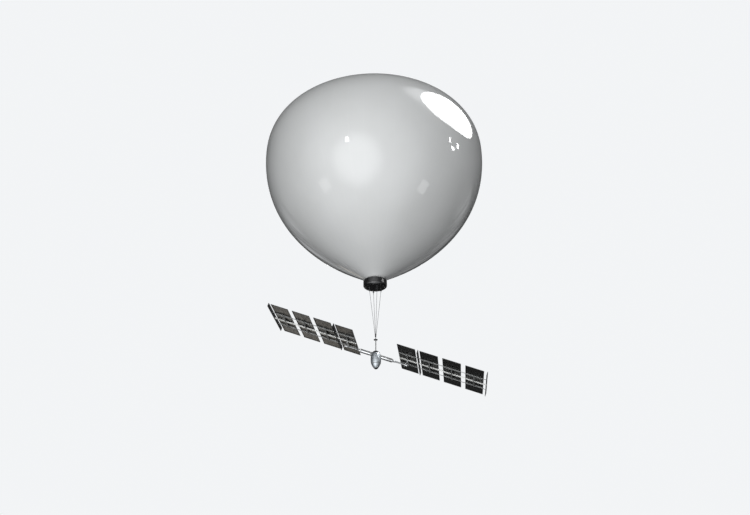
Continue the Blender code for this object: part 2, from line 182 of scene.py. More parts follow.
def turned_outwards(thing):
    only(thing)
    bpy.ops.object.mode_set(mode="EDIT")
    bpy.ops.mesh.select_all(action="SELECT")
    bpy.ops.mesh.normals_make_consistent(inside=False)
    bpy.ops.object.mode_set(mode="OBJECT")
    return thing


def mirrored(thing, axis=(1, 0, 0)):
    """Mirrors a shape across one axis. That turns it inside out, so its faces are turned back."""
    return turned_outwards(put(thing, Matrix.Scale(-1, 4, axis)))


# %% [markdown]
# Three starting shapes cover almost all of this object. A block is a cube with rounded edges.
# A round bar is a cylinder laid between two points. Everything else is turned on a lathe:
# a single point is pulled along into an outline, and the outline is spun round Z.


# %% Block and round bar
def settled():
    """Writes the new primitive's place, turn and size into its mesh."""
    bpy.ops.object.transform_apply()
    return bpy.context.object


def block(low, high, rounding=0.0, segments=2):
    low, high = Vector(low), Vector(high)
    bpy.ops.object.select_all(action="DESELECT")
    bpy.ops.mesh.primitive_cube_add(size=1, location=(low + high) / 2, scale=high - low)
    return soften(settled(), rounding, segments)


def round_bar(start, end, radius, sides=20, rounding=0.0, tip=None):
    """A bar between two points. With a radius for its tip it is a cone."""
    start, end = Vector(start), Vector(end)
    bpy.ops.object.select_all(action="DESELECT")
    bpy.ops.mesh.primitive_cone_add(
        vertices=sides, radius1=radius, radius2=radius if tip is None else tip,
        depth=(end - start).length, location=(start + end) / 2,
        rotation=(end - start).to_track_quat("Z", "Y").to_euler(),
    )
    return soften(settled(), rounding, 2, 50)


# %% Lathe and its outlines
CLOSE = 1e-5
LAID = turn(math.pi / 2, "Y")


def lathe(outline, sides=48, sweep=math.tau, closed=False):
    """Pulls a point along (radius, height) pairs, spins the outline and closes what is open."""
    bpy.ops.object.select_all(action="DESELECT")
    radius, height = outline[0]
    bpy.ops.mesh.primitive_plane_add(size=0.01, location=(radius, 0, height))
    made = settled()
    bpy.ops.object.mode_set(mode="EDIT")
    bpy.ops.mesh.select_all(action="SELECT")
    bpy.ops.mesh.merge(type="CENTER")
    points = [*outline, outline[0]] if closed else outline
    for (r0, z0), (r1, z1) in zip(points, points[1:]):
        step = {"value": (r1 - r0, 0, z1 - z0)}
        bpy.ops.mesh.extrude_vertices_move(TRANSFORM_OT_translate=step)
    bpy.ops.mesh.select_all(action="SELECT")
    bpy.ops.mesh.remove_doubles(threshold=CLOSE)
    bpy.ops.mesh.spin(
        steps=sides, angle=sweep, center=(0, 0, 0), axis=(0, 0, 1), dupli=False,
        use_auto_merge=True,
    )
    bpy.ops.mesh.select_all(action="SELECT")
    bpy.ops.mesh.remove_doubles(threshold=CLOSE)
    if sweep < math.tau:
        bpy.ops.mesh.fill_holes(sides=0)
    bpy.ops.mesh.normals_make_consistent(inside=False)
    bpy.ops.object.mode_set(mode="OBJECT")
    return made


def arc(centre, radius, start, end, steps):
    """Points of an arc in the outline's plane, in degrees, 0 pointing outwards."""
    angles = [math.radians(start + (end - start) * i / steps) for i in range(steps + 1)]
    return [(centre[0] + radius * math.cos(a), centre[1] + radius * math.sin(a)) for a in angles]


def symmetric(points):
    """An outline that goes on as its own mirror image, past height 0."""
    return [*points, *((radius, -height) for radius, height in reversed(points))]


# %% [markdown]
# Small hardware makes big things look big. A hexagon bolt is modelled once, a six sided
# cylinder with a chamfer on a round washer, and is then copied wherever something is held.
# A cable is a curve with a round section, turned into a mesh.


# %% Bolt and wire
def bolt(place, size, facing=(0, 0, -1)):
    """A hexagon head on its washer. The size is both the head's radius and its height."""
    place, facing = Vector(place), Vector(facing).normalized()
    seat = place + facing * size * 0.25
    washer = round_bar(place, seat, size * 1.25, 14)
    head = soften(round_bar(seat, place + facing * size, size, 6), size * 0.12, 1)
    return joined([washer, head])


def wire(points, radius, smooth=True, sides=2):
    curve = bpy.data.curves.new("wire", "CURVE")
    curve.dimensions = "3D"
    curve.bevel_depth, curve.bevel_resolution = radius, sides
    curve.resolution_u = 6
    curve.use_fill_caps = True
    spline = curve.splines.new("BEZIER" if smooth else "POLY")
    knots = spline.bezier_points if smooth else spline.points
    knots.add(len(points) - 1)
    for knot, point in zip(knots, points):
        if smooth:
            knot.co = point
            knot.handle_left_type = knot.handle_right_type = "AUTO"
        else:
            knot.co = (*point, 1)
    only(into_scene("wire", curve))
    bpy.ops.object.convert(target="MESH")
    return with_modifier(bpy.context.object, "WELD", merge_threshold=CLOSE)


# %% [markdown]
# A finish is never one flat colour. Each material here starts from one shader and gets soft
# clouds of lighter and darker tone, a change of gloss with them, and a fine bump, all from noise
# on Object coordinates, which stay put when the piece moves. Finer patterns are sums on those
# coordinates, so a node's output is wrapped to be added and multiplied as a number is.


# %% Arithmetic with nodes
class Value:
    """A node's output. Each sign or step that is used on it adds one math node."""

    def __init__(self, tree, socket):
        self.tree, self.socket = tree, socket

    def do(self, operation, other=0.0):
        return self.tree.add("Math", "Value", {0: self, 1: other}, operation=operation)

    def __add__(self, other):
        return self.do("ADD", other)

    def __sub__(self, other):
        return self.do("SUBTRACT", other)

    def __mul__(self, other):
        return self.do("MULTIPLY", other)

    def __truediv__(self, other):
        return self.do("DIVIDE", other)

    def __abs__(self):
        return self.do("ABSOLUTE")

    def off_whole(self):
        """How far the value is from the nearest whole number."""
        return abs((self + 0.5).do("FRACT") - 0.5)


# %% A node tree, for materials and for the room's light
class Tree:
    """The nodes of a material or a world, with short ways to add to them."""

    def __init__(self, owner, coordinates):
        owner.use_nodes = True
        self.nodes, self.links = owner.node_tree.nodes, owner.node_tree.links
        self.place = self.add("TexCoord", coordinates)

    def feed(self, socket, value):
        """Links an output to a socket, or sets a number, a vector or a colour on it."""
        if isinstance(value, Value):
            self.links.new(value.socket, socket)
        elif socket.type == "RGBA":
            socket.default_value = (*value, 1)
        else:
            socket.default_value = value

    def add(self, kind, output, sockets=(), **settings):
        """Adds a node, sets it up and returns one of its outputs."""
        node = self.nodes.new("ShaderNode" + kind)
        for name, value in settings.items():
            setattr(node, name, value)
        for key, value in dict(sockets).items():
            self.feed(node.inputs[key], value)
        return Value(self, node.outputs[output])

    def split(self, vector):
        """The three coordinates of a vector."""
        x = self.add("SeparateXYZ", "X", {"Vector": vector})
        return [Value(self, output) for output in x.socket.node.outputs]

    def noise(self, scale, detail=4.0, vector=None):
        sockets = {"Vector": vector or self.place, "Scale": scale, "Detail": detail}
        return self.add("TexNoise", "Fac", sockets)

    def ranged(self, value, low, high, new_low=0.0, new_high=1.0, **settings):
        sockets = {
            "Value": value, "From Min": low, "From Max": high,
            "To Min": new_low, "To Max": new_high,
        }
        return self.add("MapRange", "Result", sockets, **settings)

    def spread(self, cloud, low=0.0, high=1.0):
        """Stretches the middle of a noise, where nearly all of it lies, over a range."""
        return self.ranged(cloud, 0.3, 0.7, low, high)


# %% A finish
class Finish(Tree):
    """A material under construction. The further names are constants on its shader."""

    def __init__(self, name, **constants):
        self.material = bpy.data.materials.new(name)
        super().__init__(self.material, "Object")
        self.shader = self.nodes["Principled BSDF"].inputs
        for socket, value in constants.items():
            self.feed(self.shader[socket.replace("_", " ")], value)
        self.relief = None

    def mapped(self, location=(0, 0, 0), rotation=(0, 0, 0), scale=(1, 1, 1)):
        """Object coordinates as seen from another frame: moved, turned and scaled."""
        sockets = {
            "Vector": self.place, "Location": location, "Rotation": rotation, "Scale": scale
        }
        return self.add("Mapping", "Vector", sockets, vector_type="TEXTURE")

    def mixed(self, share, first, second):
        """A colour between two others, each of them a tuple or an output."""
        return self.add("Mix", 2, {"Factor": share, 6: first, 7: second}, data_type="RGBA")

    def paint(self, color):
        self.feed(self.shader["Base Color"], color)

    def gloss(self, cloud, low, high):
        self.feed(self.shader["Roughness"], self.spread(cloud, low, high))

    def bump(self, height, strength, distance):
        """Relief. Each new layer lies on the ones before it."""
        sockets = {"Height": height, "Strength": strength, "Distance": distance}
        if self.relief:
            sockets["Normal"] = self.relief
        self.relief = self.add("Bump", "Normal", sockets)
        self.feed(self.shader["Normal"], self.relief)

    def clouds(self, color, scale, share, rough, grain=None):
        """The standard treatment: clouds of tone and gloss, and a fine grain in relief."""
        darker = tuple(c * (1 - share) for c in color)
        lighter = tuple(min(1.0, c * (1 + share)) for c in color)
        self.paint(self.mixed(self.spread(self.noise(scale)), darker, lighter))
        self.gloss(self.noise(scale * 2.7), *rough)
        if grain:
            strength, grain_scale = grain
            self.bump(self.noise(grain_scale, 2.0), strength, 0.001)
        return self.material


def metal(name, color, roughness, slope=0.0, stretch=(1, 1, 25)):
    """Bright drawn metal: fine lines along the piece, with duller and brighter patches."""
    made = Finish(name, Metallic=0.9)
    lines = made.noise(60, 3.0, made.mapped((0, 0, -BOOM_DEPTH), (0, slope, 0), stretch))
    patches = made.ranged(made.noise(6.0), 0.35, 0.7)
    made.paint(made.mixed(patches, tuple(c * 0.86 for c in color), color))
    made.gloss(lines, roughness * 0.75, roughness * 1.35)
    made.bump(lines, 0.12, 0.0006)
    return made.material


# %% [markdown]
# The hardware's finishes. The collar's black paint has a soft sheen under a thin clear coat. The
# wings' middle tubes are painted white and their ribs are bare grey anodising. The boom is
# polished, and the shafts and drives are duller. The pod is smooth blue grey metallic paint
# under a glossy coat. The lines are grey rope, whose fibres show as a stretched noise.

# %% Paints, metals and plastics
BLACK = Finish("black satin paint", Coat_Weight=0.9, Coat_Roughness=0.16).clouds(
    (0.014, 0.014, 0.015), 3.0, share=0.30, rough=(0.30, 0.44), grain=(0.25, 260.0))
WHITE = Finish("white tube paint").clouds(
    (0.86, 0.86, 0.83), 4.0, share=0.05, rough=(0.30, 0.44), grain=(0.2, 300.0))
GREY = Finish("grey anodised", Metallic=0.35).clouds(
    (0.30, 0.305, 0.30), 5.0, share=0.18, rough=(0.34, 0.52), grain=(0.2, 400.0))
STRIP = Finish("dark strip").clouds(
    (0.018, 0.018, 0.022), 6.0, share=0.25, rough=(0.32, 0.48), grain=(0.2, 300.0))
BOX = Finish("black box plastic").clouds(
    (0.014, 0.014, 0.015), 9.0, share=0.2, rough=(0.42, 0.6), grain=(0.5, 900.0))
CABLE = Finish("cable jacket").clouds(
    (0.02, 0.02, 0.022), 12.0, share=0.2, rough=(0.48, 0.62), grain=(0.3, 700.0))
CELLPACK = Finish("battery wrap").clouds(
    (0.10, 0.11, 0.12), 7.0, share=0.2, rough=(0.42, 0.6), grain=(0.3, 300.0))
SHELL = Finish(
    "pod shell", Metallic=0.72, Coat_Weight=1.0, Coat_Roughness=0.05, Coat_IOR=1.7
).clouds((0.43, 0.465, 0.49), 9.0, share=0.16, rough=(0.42, 0.54), grain=(0.1, 120.0))
STEEL = metal("bright bolts", (0.55, 0.56, 0.57), 0.3)
SILVER = metal("polished boom tube", (0.52, 0.525, 0.53), 0.15, BOOM_SLOPE, (25, 1, 1))
SHAFT = metal("turned shaft", (0.27, 0.275, 0.28), 0.26, BOOM_SLOPE, (25, 1, 1))


def rope_finish():
    made = Finish("grey rope")
    made.clouds((0.045, 0.046, 0.048), 18.0, share=0.16, rough=(0.55, 0.72))
    made.bump(made.noise(90, 3.0, made.mapped(scale=(1, 1, 7))), 0.5, 0.0015)
    return made.material


ROPE = rope_finish()
print("hardware finishes:", len(bpy.data.materials))

# %% [markdown]
# The envelope is a gas tight film, seen from far away as a smooth grey gloss. It is welded from
# long gores, and a closer look finds the pale weld tapes between them, fine wrinkles that run
# down towards the neck, and clouds of haze. The gores are counted from the angle round the axis.

# %% Envelope film
GORES = 48
TAPE_EDGE, TAPE_END = 0.012, 0.020


def film_finish():
    made = Finish(
        "envelope film", Coat_Weight=1.0, Coat_Roughness=0.04, Coat_IOR=1.6,
        Specular_IOR_Level=0.0,
    )
    x, y, z = made.split(made.place)
    gore = y.do("ARCTAN2", x) * (GORES / math.tau)
    radius = (x * x + y * y).do("SQRT")
    from_seam = gore.off_whole() * (math.tau / GORES) * radius
    tape = made.ranged(from_seam, TAPE_EDGE, TAPE_END, 1.0, 0.0)
    haze = made.spread(made.noise(0.35, 5.0))
    plain = made.mixed(haze, (0.585, 0.59, 0.583), (0.615, 0.62, 0.615))
    made.paint(made.mixed(tape * 0.10, plain, (0.70, 0.70, 0.69)))
    made.gloss(made.noise(0.8, 3.0), 0.42, 0.50)
    made.bump(tape, 0.06, 0.002)
    made.bump(made.noise(1.6, 2.0, made.mapped(scale=(1, 1, 6))), 0.02, 0.02)
    return made.material


FILM = film_finish()
print("gores:", GORES, "each", round(math.tau * 7.5 / GORES, 2), "m wide")

# %% [markdown]
# The back sheets under the panels are a dark, slightly brown grey laminate, and the cells'
# rows print through it very faintly. On top, six by thirteen black cells lie under glass, with
# a bright hair line between cells and fine silver fingers. Both patterns are counted in the
# boom's own frame, from the first panel's edge, and the same numbers size the panels below.

# %% Panel sizes
PANELS = 4
PANEL_WIDTH, PANEL_PITCH, PANEL_START = 1.163, 1.450, 1.453
PANEL_CHORD, PANEL_THICK, PANEL_HEIGHT = 4.90, 0.035, 0.384
HALF_GAP = 0.0305
FRAME_LIP, FRAME_RECESS = 0.035, 0.022
CELLS_ACROSS, CELLS_ALONG, CELL = 6, 13, 0.180
HALF_LENGTH = PANEL_CHORD / 2 - HALF_GAP
print("half panel:", PANEL_WIDTH, "by", round(HALF_LENGTH, 3), "m")


# %% Panel finishes
def cell_places(made):
    """Two outputs that grow by 1 with each cell, across and along the panel."""
    x, y, z = made.split(made.mapped((0, 0, -BOOM_DEPTH), (0, BOOM_SLOPE, 0)))
    margin_x = (PANEL_WIDTH - CELLS_ACROSS * CELL) / 2
    margin_y = (HALF_LENGTH - CELLS_ALONG * CELL) / 2
    in_panel = (abs(x) - PANEL_START).do("FLOORED_MODULO", PANEL_PITCH) - margin_x
    in_half = abs(y) - (HALF_GAP + margin_y)
    return in_panel / CELL, in_half / CELL


def line_mask(place, width):
    """1 on a line at each whole number, and 0 between."""
    return place.tree.ranged(place.off_whole(), width, width * 1.6, 1.0, 0.0)


def cell_finish():
    made = Finish("solar cells under glass", Coat_Weight=0.7, Coat_Roughness=0.04)
    across, along = cell_places(made)
    gaps = line_mask(across, 0.010).do("MAXIMUM", line_mask(along, 0.010))
    fingers = line_mask(across * 5.0, 0.03)
    tone = made.spread(made.noise(3.0))
    cells = made.mixed(tone, (0.008, 0.010, 0.020), (0.016, 0.020, 0.036))
    cells = made.mixed(fingers * 0.35, cells, (0.30, 0.31, 0.33))
    made.paint(made.mixed(gaps, cells, (0.11, 0.115, 0.12)))
    made.gloss(made.noise(5.0), 0.12, 0.22)
    return made.material


def back_sheet_finish():
    made = Finish("dark back sheet", Specular_IOR_Level=0.22)
    across, along = cell_places(made)
    gaps = line_mask(across, 0.012).do("MAXIMUM", line_mask(along, 0.012))
    tone = made.spread(made.noise(1.4, 2.5))
    sheet = made.mixed(tone, (0.006, 0.006, 0.0058), (0.020, 0.0188, 0.0155))
    made.paint(made.mixed(gaps * 0.5, sheet, (0.010, 0.010, 0.010)))
    made.gloss(made.noise(6.0), 0.22, 0.36)
    made.bump(gaps, 0.25, 0.001)
    made.bump(made.noise(60.0, 3.0), 0.05, 0.001)
    return made.material


CELLS = cell_finish()
BACK = back_sheet_finish()
RAIL = Finish("panel rail", Metallic=0.6).clouds(
    (0.045, 0.045, 0.045), 5.0, share=0.2, rough=(0.3, 0.46), grain=(0.2, 300.0))
print("finishes so far:", len(bpy.data.materials))

# %% [markdown]
# A finished piece is joined from painted parts, gets its normals turned outwards and its
# shading smoothed by angle, and is then handed to the frame: it rides on a body, and the
# plain solid it stands for is hidden.

# %% Painting and handing over
MADE = []
UP = (0, 0, 1)


def painted(material, *things):
    for thing in things:
        thing.data.materials.clear()
        thing.data.materials.append(material)
    return joined(list(things))


def turned(material, outline, sides, closed=False):
    return painted(material, lathe(outline, sides, closed=closed))


def bolt_ring(count, radius, height, size, facing=(0, 0, -1), first=0.0, material=STEEL):
    """A circle of bolts round Z."""
    one = bolt((radius, 0, height), size, facing)
    return painted(material, copies(one, around(count, first)))


def piece(name, parts, home, body, node, smooth=35.0):
    thing = put(turned_outwards(joined(parts)), home)
    thing.name = thing.data.name = name
    only(thing)
    bpy.ops.object.shade_smooth_by_angle(angle=math.radians(smooth))
    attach(thing, body)
    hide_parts(node)
    MADE.append(name)
    print(name, "has", len(thing.data.polygons), "faces")


# %% [markdown]
# The envelope has the shape that a thin film takes under gas pressure: a broad flattened crown,
# its widest circle high up, and one long curve down to the neck. A superellipse draws the crown
# and a single Bezier curve the rest, the same two as in the CAD, with three times the points.

# %% Envelope
ENVELOPE_RADIUS, CROWN_HEIGHT, CROWN_POWER = 7.50, 4.82, 2.38
TAIL_DEPTH, NECK_RADIUS, TAIL_FULLNESS = 8.83, 0.60, 0.687
NECK_HANDLE = (0.48, 0.58)
APEX_HOLE_RADIUS, SHELL_THICKNESS = 0.24, 0.010
CROWN_STEPS, TAIL_STEPS = 34, 44


def envelope_outline():
    start = math.acos((APEX_HOLE_RADIUS / ENVELOPE_RADIUS) ** (CROWN_POWER / 2))
    points = []
    for i in range(CROWN_STEPS + 1):
        angle = start * (1 - i / CROWN_STEPS)
        points.append((
            ENVELOPE_RADIUS * math.cos(angle) ** (2 / CROWN_POWER),
            CROWN_HEIGHT * math.sin(angle) ** (2 / CROWN_POWER),
        ))
    ends = [
        Vector((ENVELOPE_RADIUS, 0)),
        Vector((ENVELOPE_RADIUS, -TAIL_FULLNESS * TAIL_DEPTH)),
        Vector((NECK_RADIUS + NECK_HANDLE[0], -TAIL_DEPTH + NECK_HANDLE[1])),
        Vector((NECK_RADIUS, -TAIL_DEPTH)),
    ]
    for i in range(1, TAIL_STEPS + 1):
        t = i / TAIL_STEPS
        weights = ((1 - t) ** 3, 3 * t * (1 - t) ** 2, 3 * t * t * (1 - t), t**3)
        points.append(tuple(sum((end * w for end, w in zip(ends, weights)), Vector((0, 0)))))
    return points


skin = lathe(envelope_outline(), 3 * GORES)
with_modifier(
    skin, "SOLIDIFY", thickness=SHELL_THICKNESS, offset=-1.0, use_even_offset=True
)
piece(
    "envelope_skin", [painted(FILM, skin)], UNMOVED, "balloon", "envelope", 60.0
)

# %% [markdown]
# At the crown a round plate closes the film. It clamps the gores' ends between two rings with a
# circle of bolts, and a shallow valve cover sits in its middle. The CAD has a plain disc with a
# spigot. Here it is one turned outline with its steps, and the bolts are copied round it.

# %% Apex plate
APEX_SEAT = envelope_outline()[0][1] + GAP
plate = turned(BLACK, [
    (0, 0.035), (0.060, 0.035), (0.070, 0.030), (0.125, 0.028), (0.140, 0.016), (0.200, 0.016),
    (0.206, 0.026), (0.300, 0.026), *arc((0.304, 0.012), 0.012, 60, 0, 4), (0.318, 0.002),
    (0.318, 0.0), (0.235, 0), (0.235, -0.03), (0, -0.03),
], 72)
piece(
    "crown_plate",
    [plate, bolt_ring(16, 0.262, 0.0255, 0.009, UP), bolt_ring(8, 0.100, 0.0285, 0.005, UP)],
    shift(z=APEX_SEAT), "balloon", "apex_plate",
)

# %% [markdown]
# The film's neck is gathered into a black drum, the load collar. From below it is the darkest
# thing in the picture. It has a rounded lid edge, a shallow waist groove, a foot that is
# rounded in two curves, and a flat underside where four hangers bolt on. The drum is hollow,
# so its outline is closed and runs back along the inside of its wall.

# %% Load collar
COLLAR_RADIUS, COLLAR_HEIGHT, MOUTH = 0.777, 0.515, 0.50
COLLAR_TOP = -TAIL_DEPTH - GAP
COLLAR_FOOT = COLLAR_TOP - COLLAR_HEIGHT
drum = turned(BLACK, [
    (MOUTH, 0), (0.585, 0.0), (0.615, 0.0), (0.660, 0.0),
    *arc((0.702, -0.075), 0.075, 90, 0, 8),
    (COLLAR_RADIUS, -0.150), (0.772, -0.155), (0.772, -0.168), (COLLAR_RADIUS, -0.173),
    (COLLAR_RADIUS, -0.380),
    *arc((0.667, -0.385), 0.110, 0, -48, 10), *arc((0.660, -0.470), 0.045, -50, -90, 5),
    (0.600, -0.515), (0.595, -0.511), (0.470, -0.511), (0.465, -0.515), (0.18, -0.515),
    (0.172, -0.507), (0.02, -0.507), (0, -0.507), (0, -0.487), (0.652, -0.487),
    (0.757, -0.400), (0.757, -0.075), (0.690, -0.020), (MOUTH, -0.020),
], 96, closed=True)
neck_clamp = turned(STEEL, [
    (NECK_RADIUS + 0.003, 0.006), (NECK_RADIUS + 0.022, 0.006),
    (NECK_RADIUS + 0.022, 0.002), (NECK_RADIUS + 0.003, 0.002),
], 96, closed=True)
foot_bolts = bolt_ring(24, 0.630, -0.5145, 0.010, first=0.13)
side_bolts = bolt_ring(24, COLLAR_RADIUS, -0.300, 0.011, (1, 0, 0), material=BLACK)
piece(
    "collar_drum", [drum, foot_bolts, side_bolts, neck_clamp], shift(z=COLLAR_TOP),
    "balloon", "load_collar",
)

# %% [markdown]
# Four knobs under the collar hold the lines. Each is a flange with four screws, a stem, and a
# round socket that the rope's end runs into. They stand at the corners of a square that is
# turned a little, so that the camera sees all four.

# %% Line hangers
LINE_CIRCLE, LINE_SPOTS = 0.392, around(4, math.radians(22.2))
HANGER_EYE, BALL = -0.175, 0.050
HANGER_FOOT = HANGER_EYE - BALL * math.sin(math.radians(55))
hanger_outline = [
    (0, -GAP), (0.066, -GAP), (0.070, -0.004), (0.070, -0.020), (0.062, -0.027),
    (0.040, -0.030), (0.034, -0.036), (0.030, -0.052), (0.030, -0.098), (0.036, -0.104),
    (0.036, -0.116), (0.030, -0.122), *arc((0, HANGER_EYE), BALL, 50, -55, 12),
    (0.018, HANGER_FOOT), (0.016, HANGER_FOOT + 0.003), (0, HANGER_FOOT + 0.003),
]
for number, spot in enumerate(LINE_SPOTS, 1):
    knob = turned(STRIP, hanger_outline, 36)
    screws = bolt_ring(4, 0.052, -0.0285, 0.0055, first=math.pi / 4)
    piece(
        f"line_hanger_knob_{number}", [knob, screws],
        shift(z=COLLAR_FOOT) @ spot @ shift(LINE_CIRCLE), "balloon",
        f"line_hanger_{number}",
    )

# %% [markdown]
# The suspension lines are laid rope, three strands twisted round each other, drawn taut by the
# load. Each strand is a curve that winds round the line's own axis. The ends are whipped with
# a thicker sleeve where they enter the hanger and the gather block.

# %% Suspension lines
GATHER_TOP, GATHER_CIRCLE, LINE_RADIUS, LINE_END_GAP = 1.296, 0.028, 0.0115, 0.0013
STRANDS, STRAND_PITCH, STRAND_STEPS = 3, 0.16, 9
WHIPPING = 0.14


def laid_rope(start, end, radius):
    """Twisted strands between two points, and a whipped sleeve at each end."""
    along = end - start
    facing = along.to_track_quat("Z", "Y").to_matrix()
    steps = int(along.length / STRAND_PITCH * STRAND_STEPS)
    strands = []
    for strand in range(STRANDS):
        points = []
        for i in range(steps + 1):
            share = i / steps
            angle = math.tau * (share * along.length / STRAND_PITCH + strand / STRANDS)
            off = facing @ Vector((math.cos(angle), math.sin(angle), 0)) * radius * 0.50
            points.append(start + along * share + off)
        strands.append(wire(points, radius * 0.54, smooth=False, sides=1))
    sleeve = along.normalized() * WHIPPING
    for low, high in ((start, start + sleeve), (end - sleeve, end)):
        strands.append(round_bar(low, high, radius * 1.25, 16, 0.002))
    return painted(ROPE, *strands)


for number, spot in enumerate(LINE_SPOTS, 1):
    top = spot @ Vector((LINE_CIRCLE, 0, COLLAR_FOOT + HANGER_FOOT - LINE_END_GAP))
    bottom = spot @ Vector((GATHER_CIRCLE, 0, GATHER_TOP - BOOM_DEPTH + LINE_END_GAP))
    piece(
        f"laid_line_{number}", [laid_rope(top, bottom, LINE_RADIUS)], UNMOVED,
        "balloon", f"suspension_line_{number}", 80.0,
    )
print("line length:", round((top - bottom).length, 2), "m")

# %% [markdown]
# The four lines meet in a small block. Under it a short link runs to the swivel, the bearing
# that lets the pod turn under the envelope. The block is turned with a waist and a hexagon so
# that a spanner can hold it.

# %% Gather block and link
SWIVEL_TOP = 1.075
gather = turned(ROPE, [
    (0, GATHER_TOP), (0.038, GATHER_TOP), (0.045, 1.290), (0.045, 1.262), (0.040, 1.258),
    (0.040, 1.252), (0.045, 1.248), (0.045, 1.236), (0.022, 1.206), (0.022, 1.150),
    (0.027, 1.146), (0.027, 1.136), (0.022, 1.132), (0.022, SWIVEL_TOP + 0.020),
    (0.030, SWIVEL_TOP + 0.012), (0.030, SWIVEL_TOP + GAP), (0, SWIVEL_TOP + GAP),
], 32)
link_nut = painted(STEEL, soften(round_bar((0, 0, 1.168), (0, 0, 1.190), 0.034, 6), 0.002, 1))
piece("gather_block", [gather, link_nut], LEVEL, "balloon", "gather_link")

# %% Swivel plate
disc = turned(BLACK, [
    (0, SWIVEL_TOP), (0.050, SWIVEL_TOP), (0.054, 1.071), (0.108, 1.071), (0.114, SWIVEL_TOP),
    (0.120, 1.073), (0.126, 1.066), (0.126, 1.056), (0.122, 1.052), (0.122, 1.048),
    (0.126, 1.044), (0.126, 1.035), (0.118, 1.026), (0.060, 1.026), (0.056, 1.025), (0, 1.025),
], 56)
disc_bolts = bolt_ring(8, 0.088, 1.0265, 0.007)
piece("swivel_disc", [disc, disc_bolts], LEVEL, "gondola", "swivel_plate")

# %% [markdown]
# A slim grey mast joins the swivel to the pod's cap. Its foot flares into a flange with six
# bolts, two small clamps sit on the tube, and a thin cable runs down it to the pod.

# %% Mast
POD_TOP = 0.29
FOOT = POD_TOP + GAP
MAST, CLAMP = 0.0275, 0.033
tube = turned(GREY, [
    (0, 1.0247), (0.036, 1.0247), (0.036, 1.010), (MAST, 1.002), (MAST, 0.760), (CLAMP, 0.756),
    (CLAMP, 0.736), (MAST, 0.732), (MAST, 0.500), (CLAMP, 0.496), (CLAMP, 0.476), (MAST, 0.472),
    (MAST, FOOT + 0.075), (0.034, FOOT + 0.045), (0.046, FOOT + 0.024), (0.056, FOOT + 0.016),
    (0.075, FOOT + 0.013), (0.075, FOOT), (0, FOOT),
], 32)
mast_bolts = bolt_ring(6, 0.063, FOOT + 0.012, 0.006, UP, 0.3)
mast_cable = painted(CABLE, wire([
    (0.030, -0.020, 1.020), (0.036, -0.010, 0.96), (0.036, -0.006, 0.75),
    (0.036, -0.006, 0.49), (0.040, -0.012, 0.40), (0.062, -0.030, FOOT + 0.020),
    (0.070, -0.034, FOOT + 0.004),
], 0.004))
piece("mast_tube", [tube, mast_bolts, mast_cable], LEVEL, "gondola", "mast")

# %% [markdown]
# The pod is an egg, widest in its lower middle. Two unlike half ovals that meet at the waist
# give its radius at any height, exactly as in the CAD. The shell parts are turned from that
# outline, and straps and a hatch are thin slices of it, turned through a few degrees only.

# %% The egg's outline
POD_RADIUS, POD_WAIST, POD_BOTTOM = 0.33, -0.31, -0.885
CAP_RIM, CAP_PROUD, CAP_SEAT = 0.15, 0.018, 0.09
DECK_TOP, DECK_FOOT, SHELL_END, WALL = -0.535, -0.565, -0.835, 0.012
BOOM_RADIUS, BOOM_HALF = 0.105, 1.12


def egg(height, offset=0.0):
    if height >= POD_WAIST:
        share, power = (height - POD_WAIST) / (POD_TOP - POD_WAIST), 2.6
    else:
        share, power = (POD_WAIST - height) / (POD_WAIST - POD_BOTTOM), 1.9
    return POD_RADIUS * max(0.0, 1 - share**power) ** (1 / power) + offset


def egg_side(top, foot, offset, steps):
    """The egg's outline between two heights, moved out or in by the offset."""
    heights = [top + (foot - top) * i / steps for i in range(steps + 1)]
    return [(egg(height, offset), height) for height in heights]


def egg_slice(top, foot, proud, middle, width):
    """A raised strap or hatch: a thin outline turned through part of a circle, in degrees."""
    outline = [*egg_side(top, foot, proud, 18), *egg_side(foot, top, -0.004, 18)]
    made = lathe(outline, max(3, int(width / 3)), math.radians(width), True)
    return put(made, turn(math.radians(middle - width / 2)))


def boom_passage(thing):
    """Opens a shape where the boom runs through it."""
    boom = round_bar((0, 0, -1.2), (0, 0, 1.2), BOOM_RADIUS + GAP, 48)
    return drilled(thing, put(boom, LAID, SLOPE))


# %% Upper shell
UPPER_TOP, UPPER_FOOT = CAP_RIM - GAP, DECK_TOP + GAP
WAIST_GROOVE = ((0.010, 0), (0.008, -0.003), (-0.008, -0.003), (-0.010, 0))
upper = painted(SHELL, boom_passage(lathe([
    *egg_side(UPPER_TOP, POD_WAIST + 0.02, 0, 26),
    *((egg(POD_WAIST + step, off), POD_WAIST + step) for step, off in WAIST_GROOVE),
    *egg_side(POD_WAIST - 0.02, UPPER_FOOT, 0, 14),
    *egg_side(UPPER_FOOT, UPPER_TOP, -WALL, 24),
], 96, closed=True)))
print("upper shell:", len(upper.data.polygons), "faces, opened for the boom")

# %% [markdown]
# Four straps run down the shell, a hatch with eight screws faces the camera, and a low band
# stiffens the edge above the seam. Where the boom enters, a stepped collar seals it on each side.

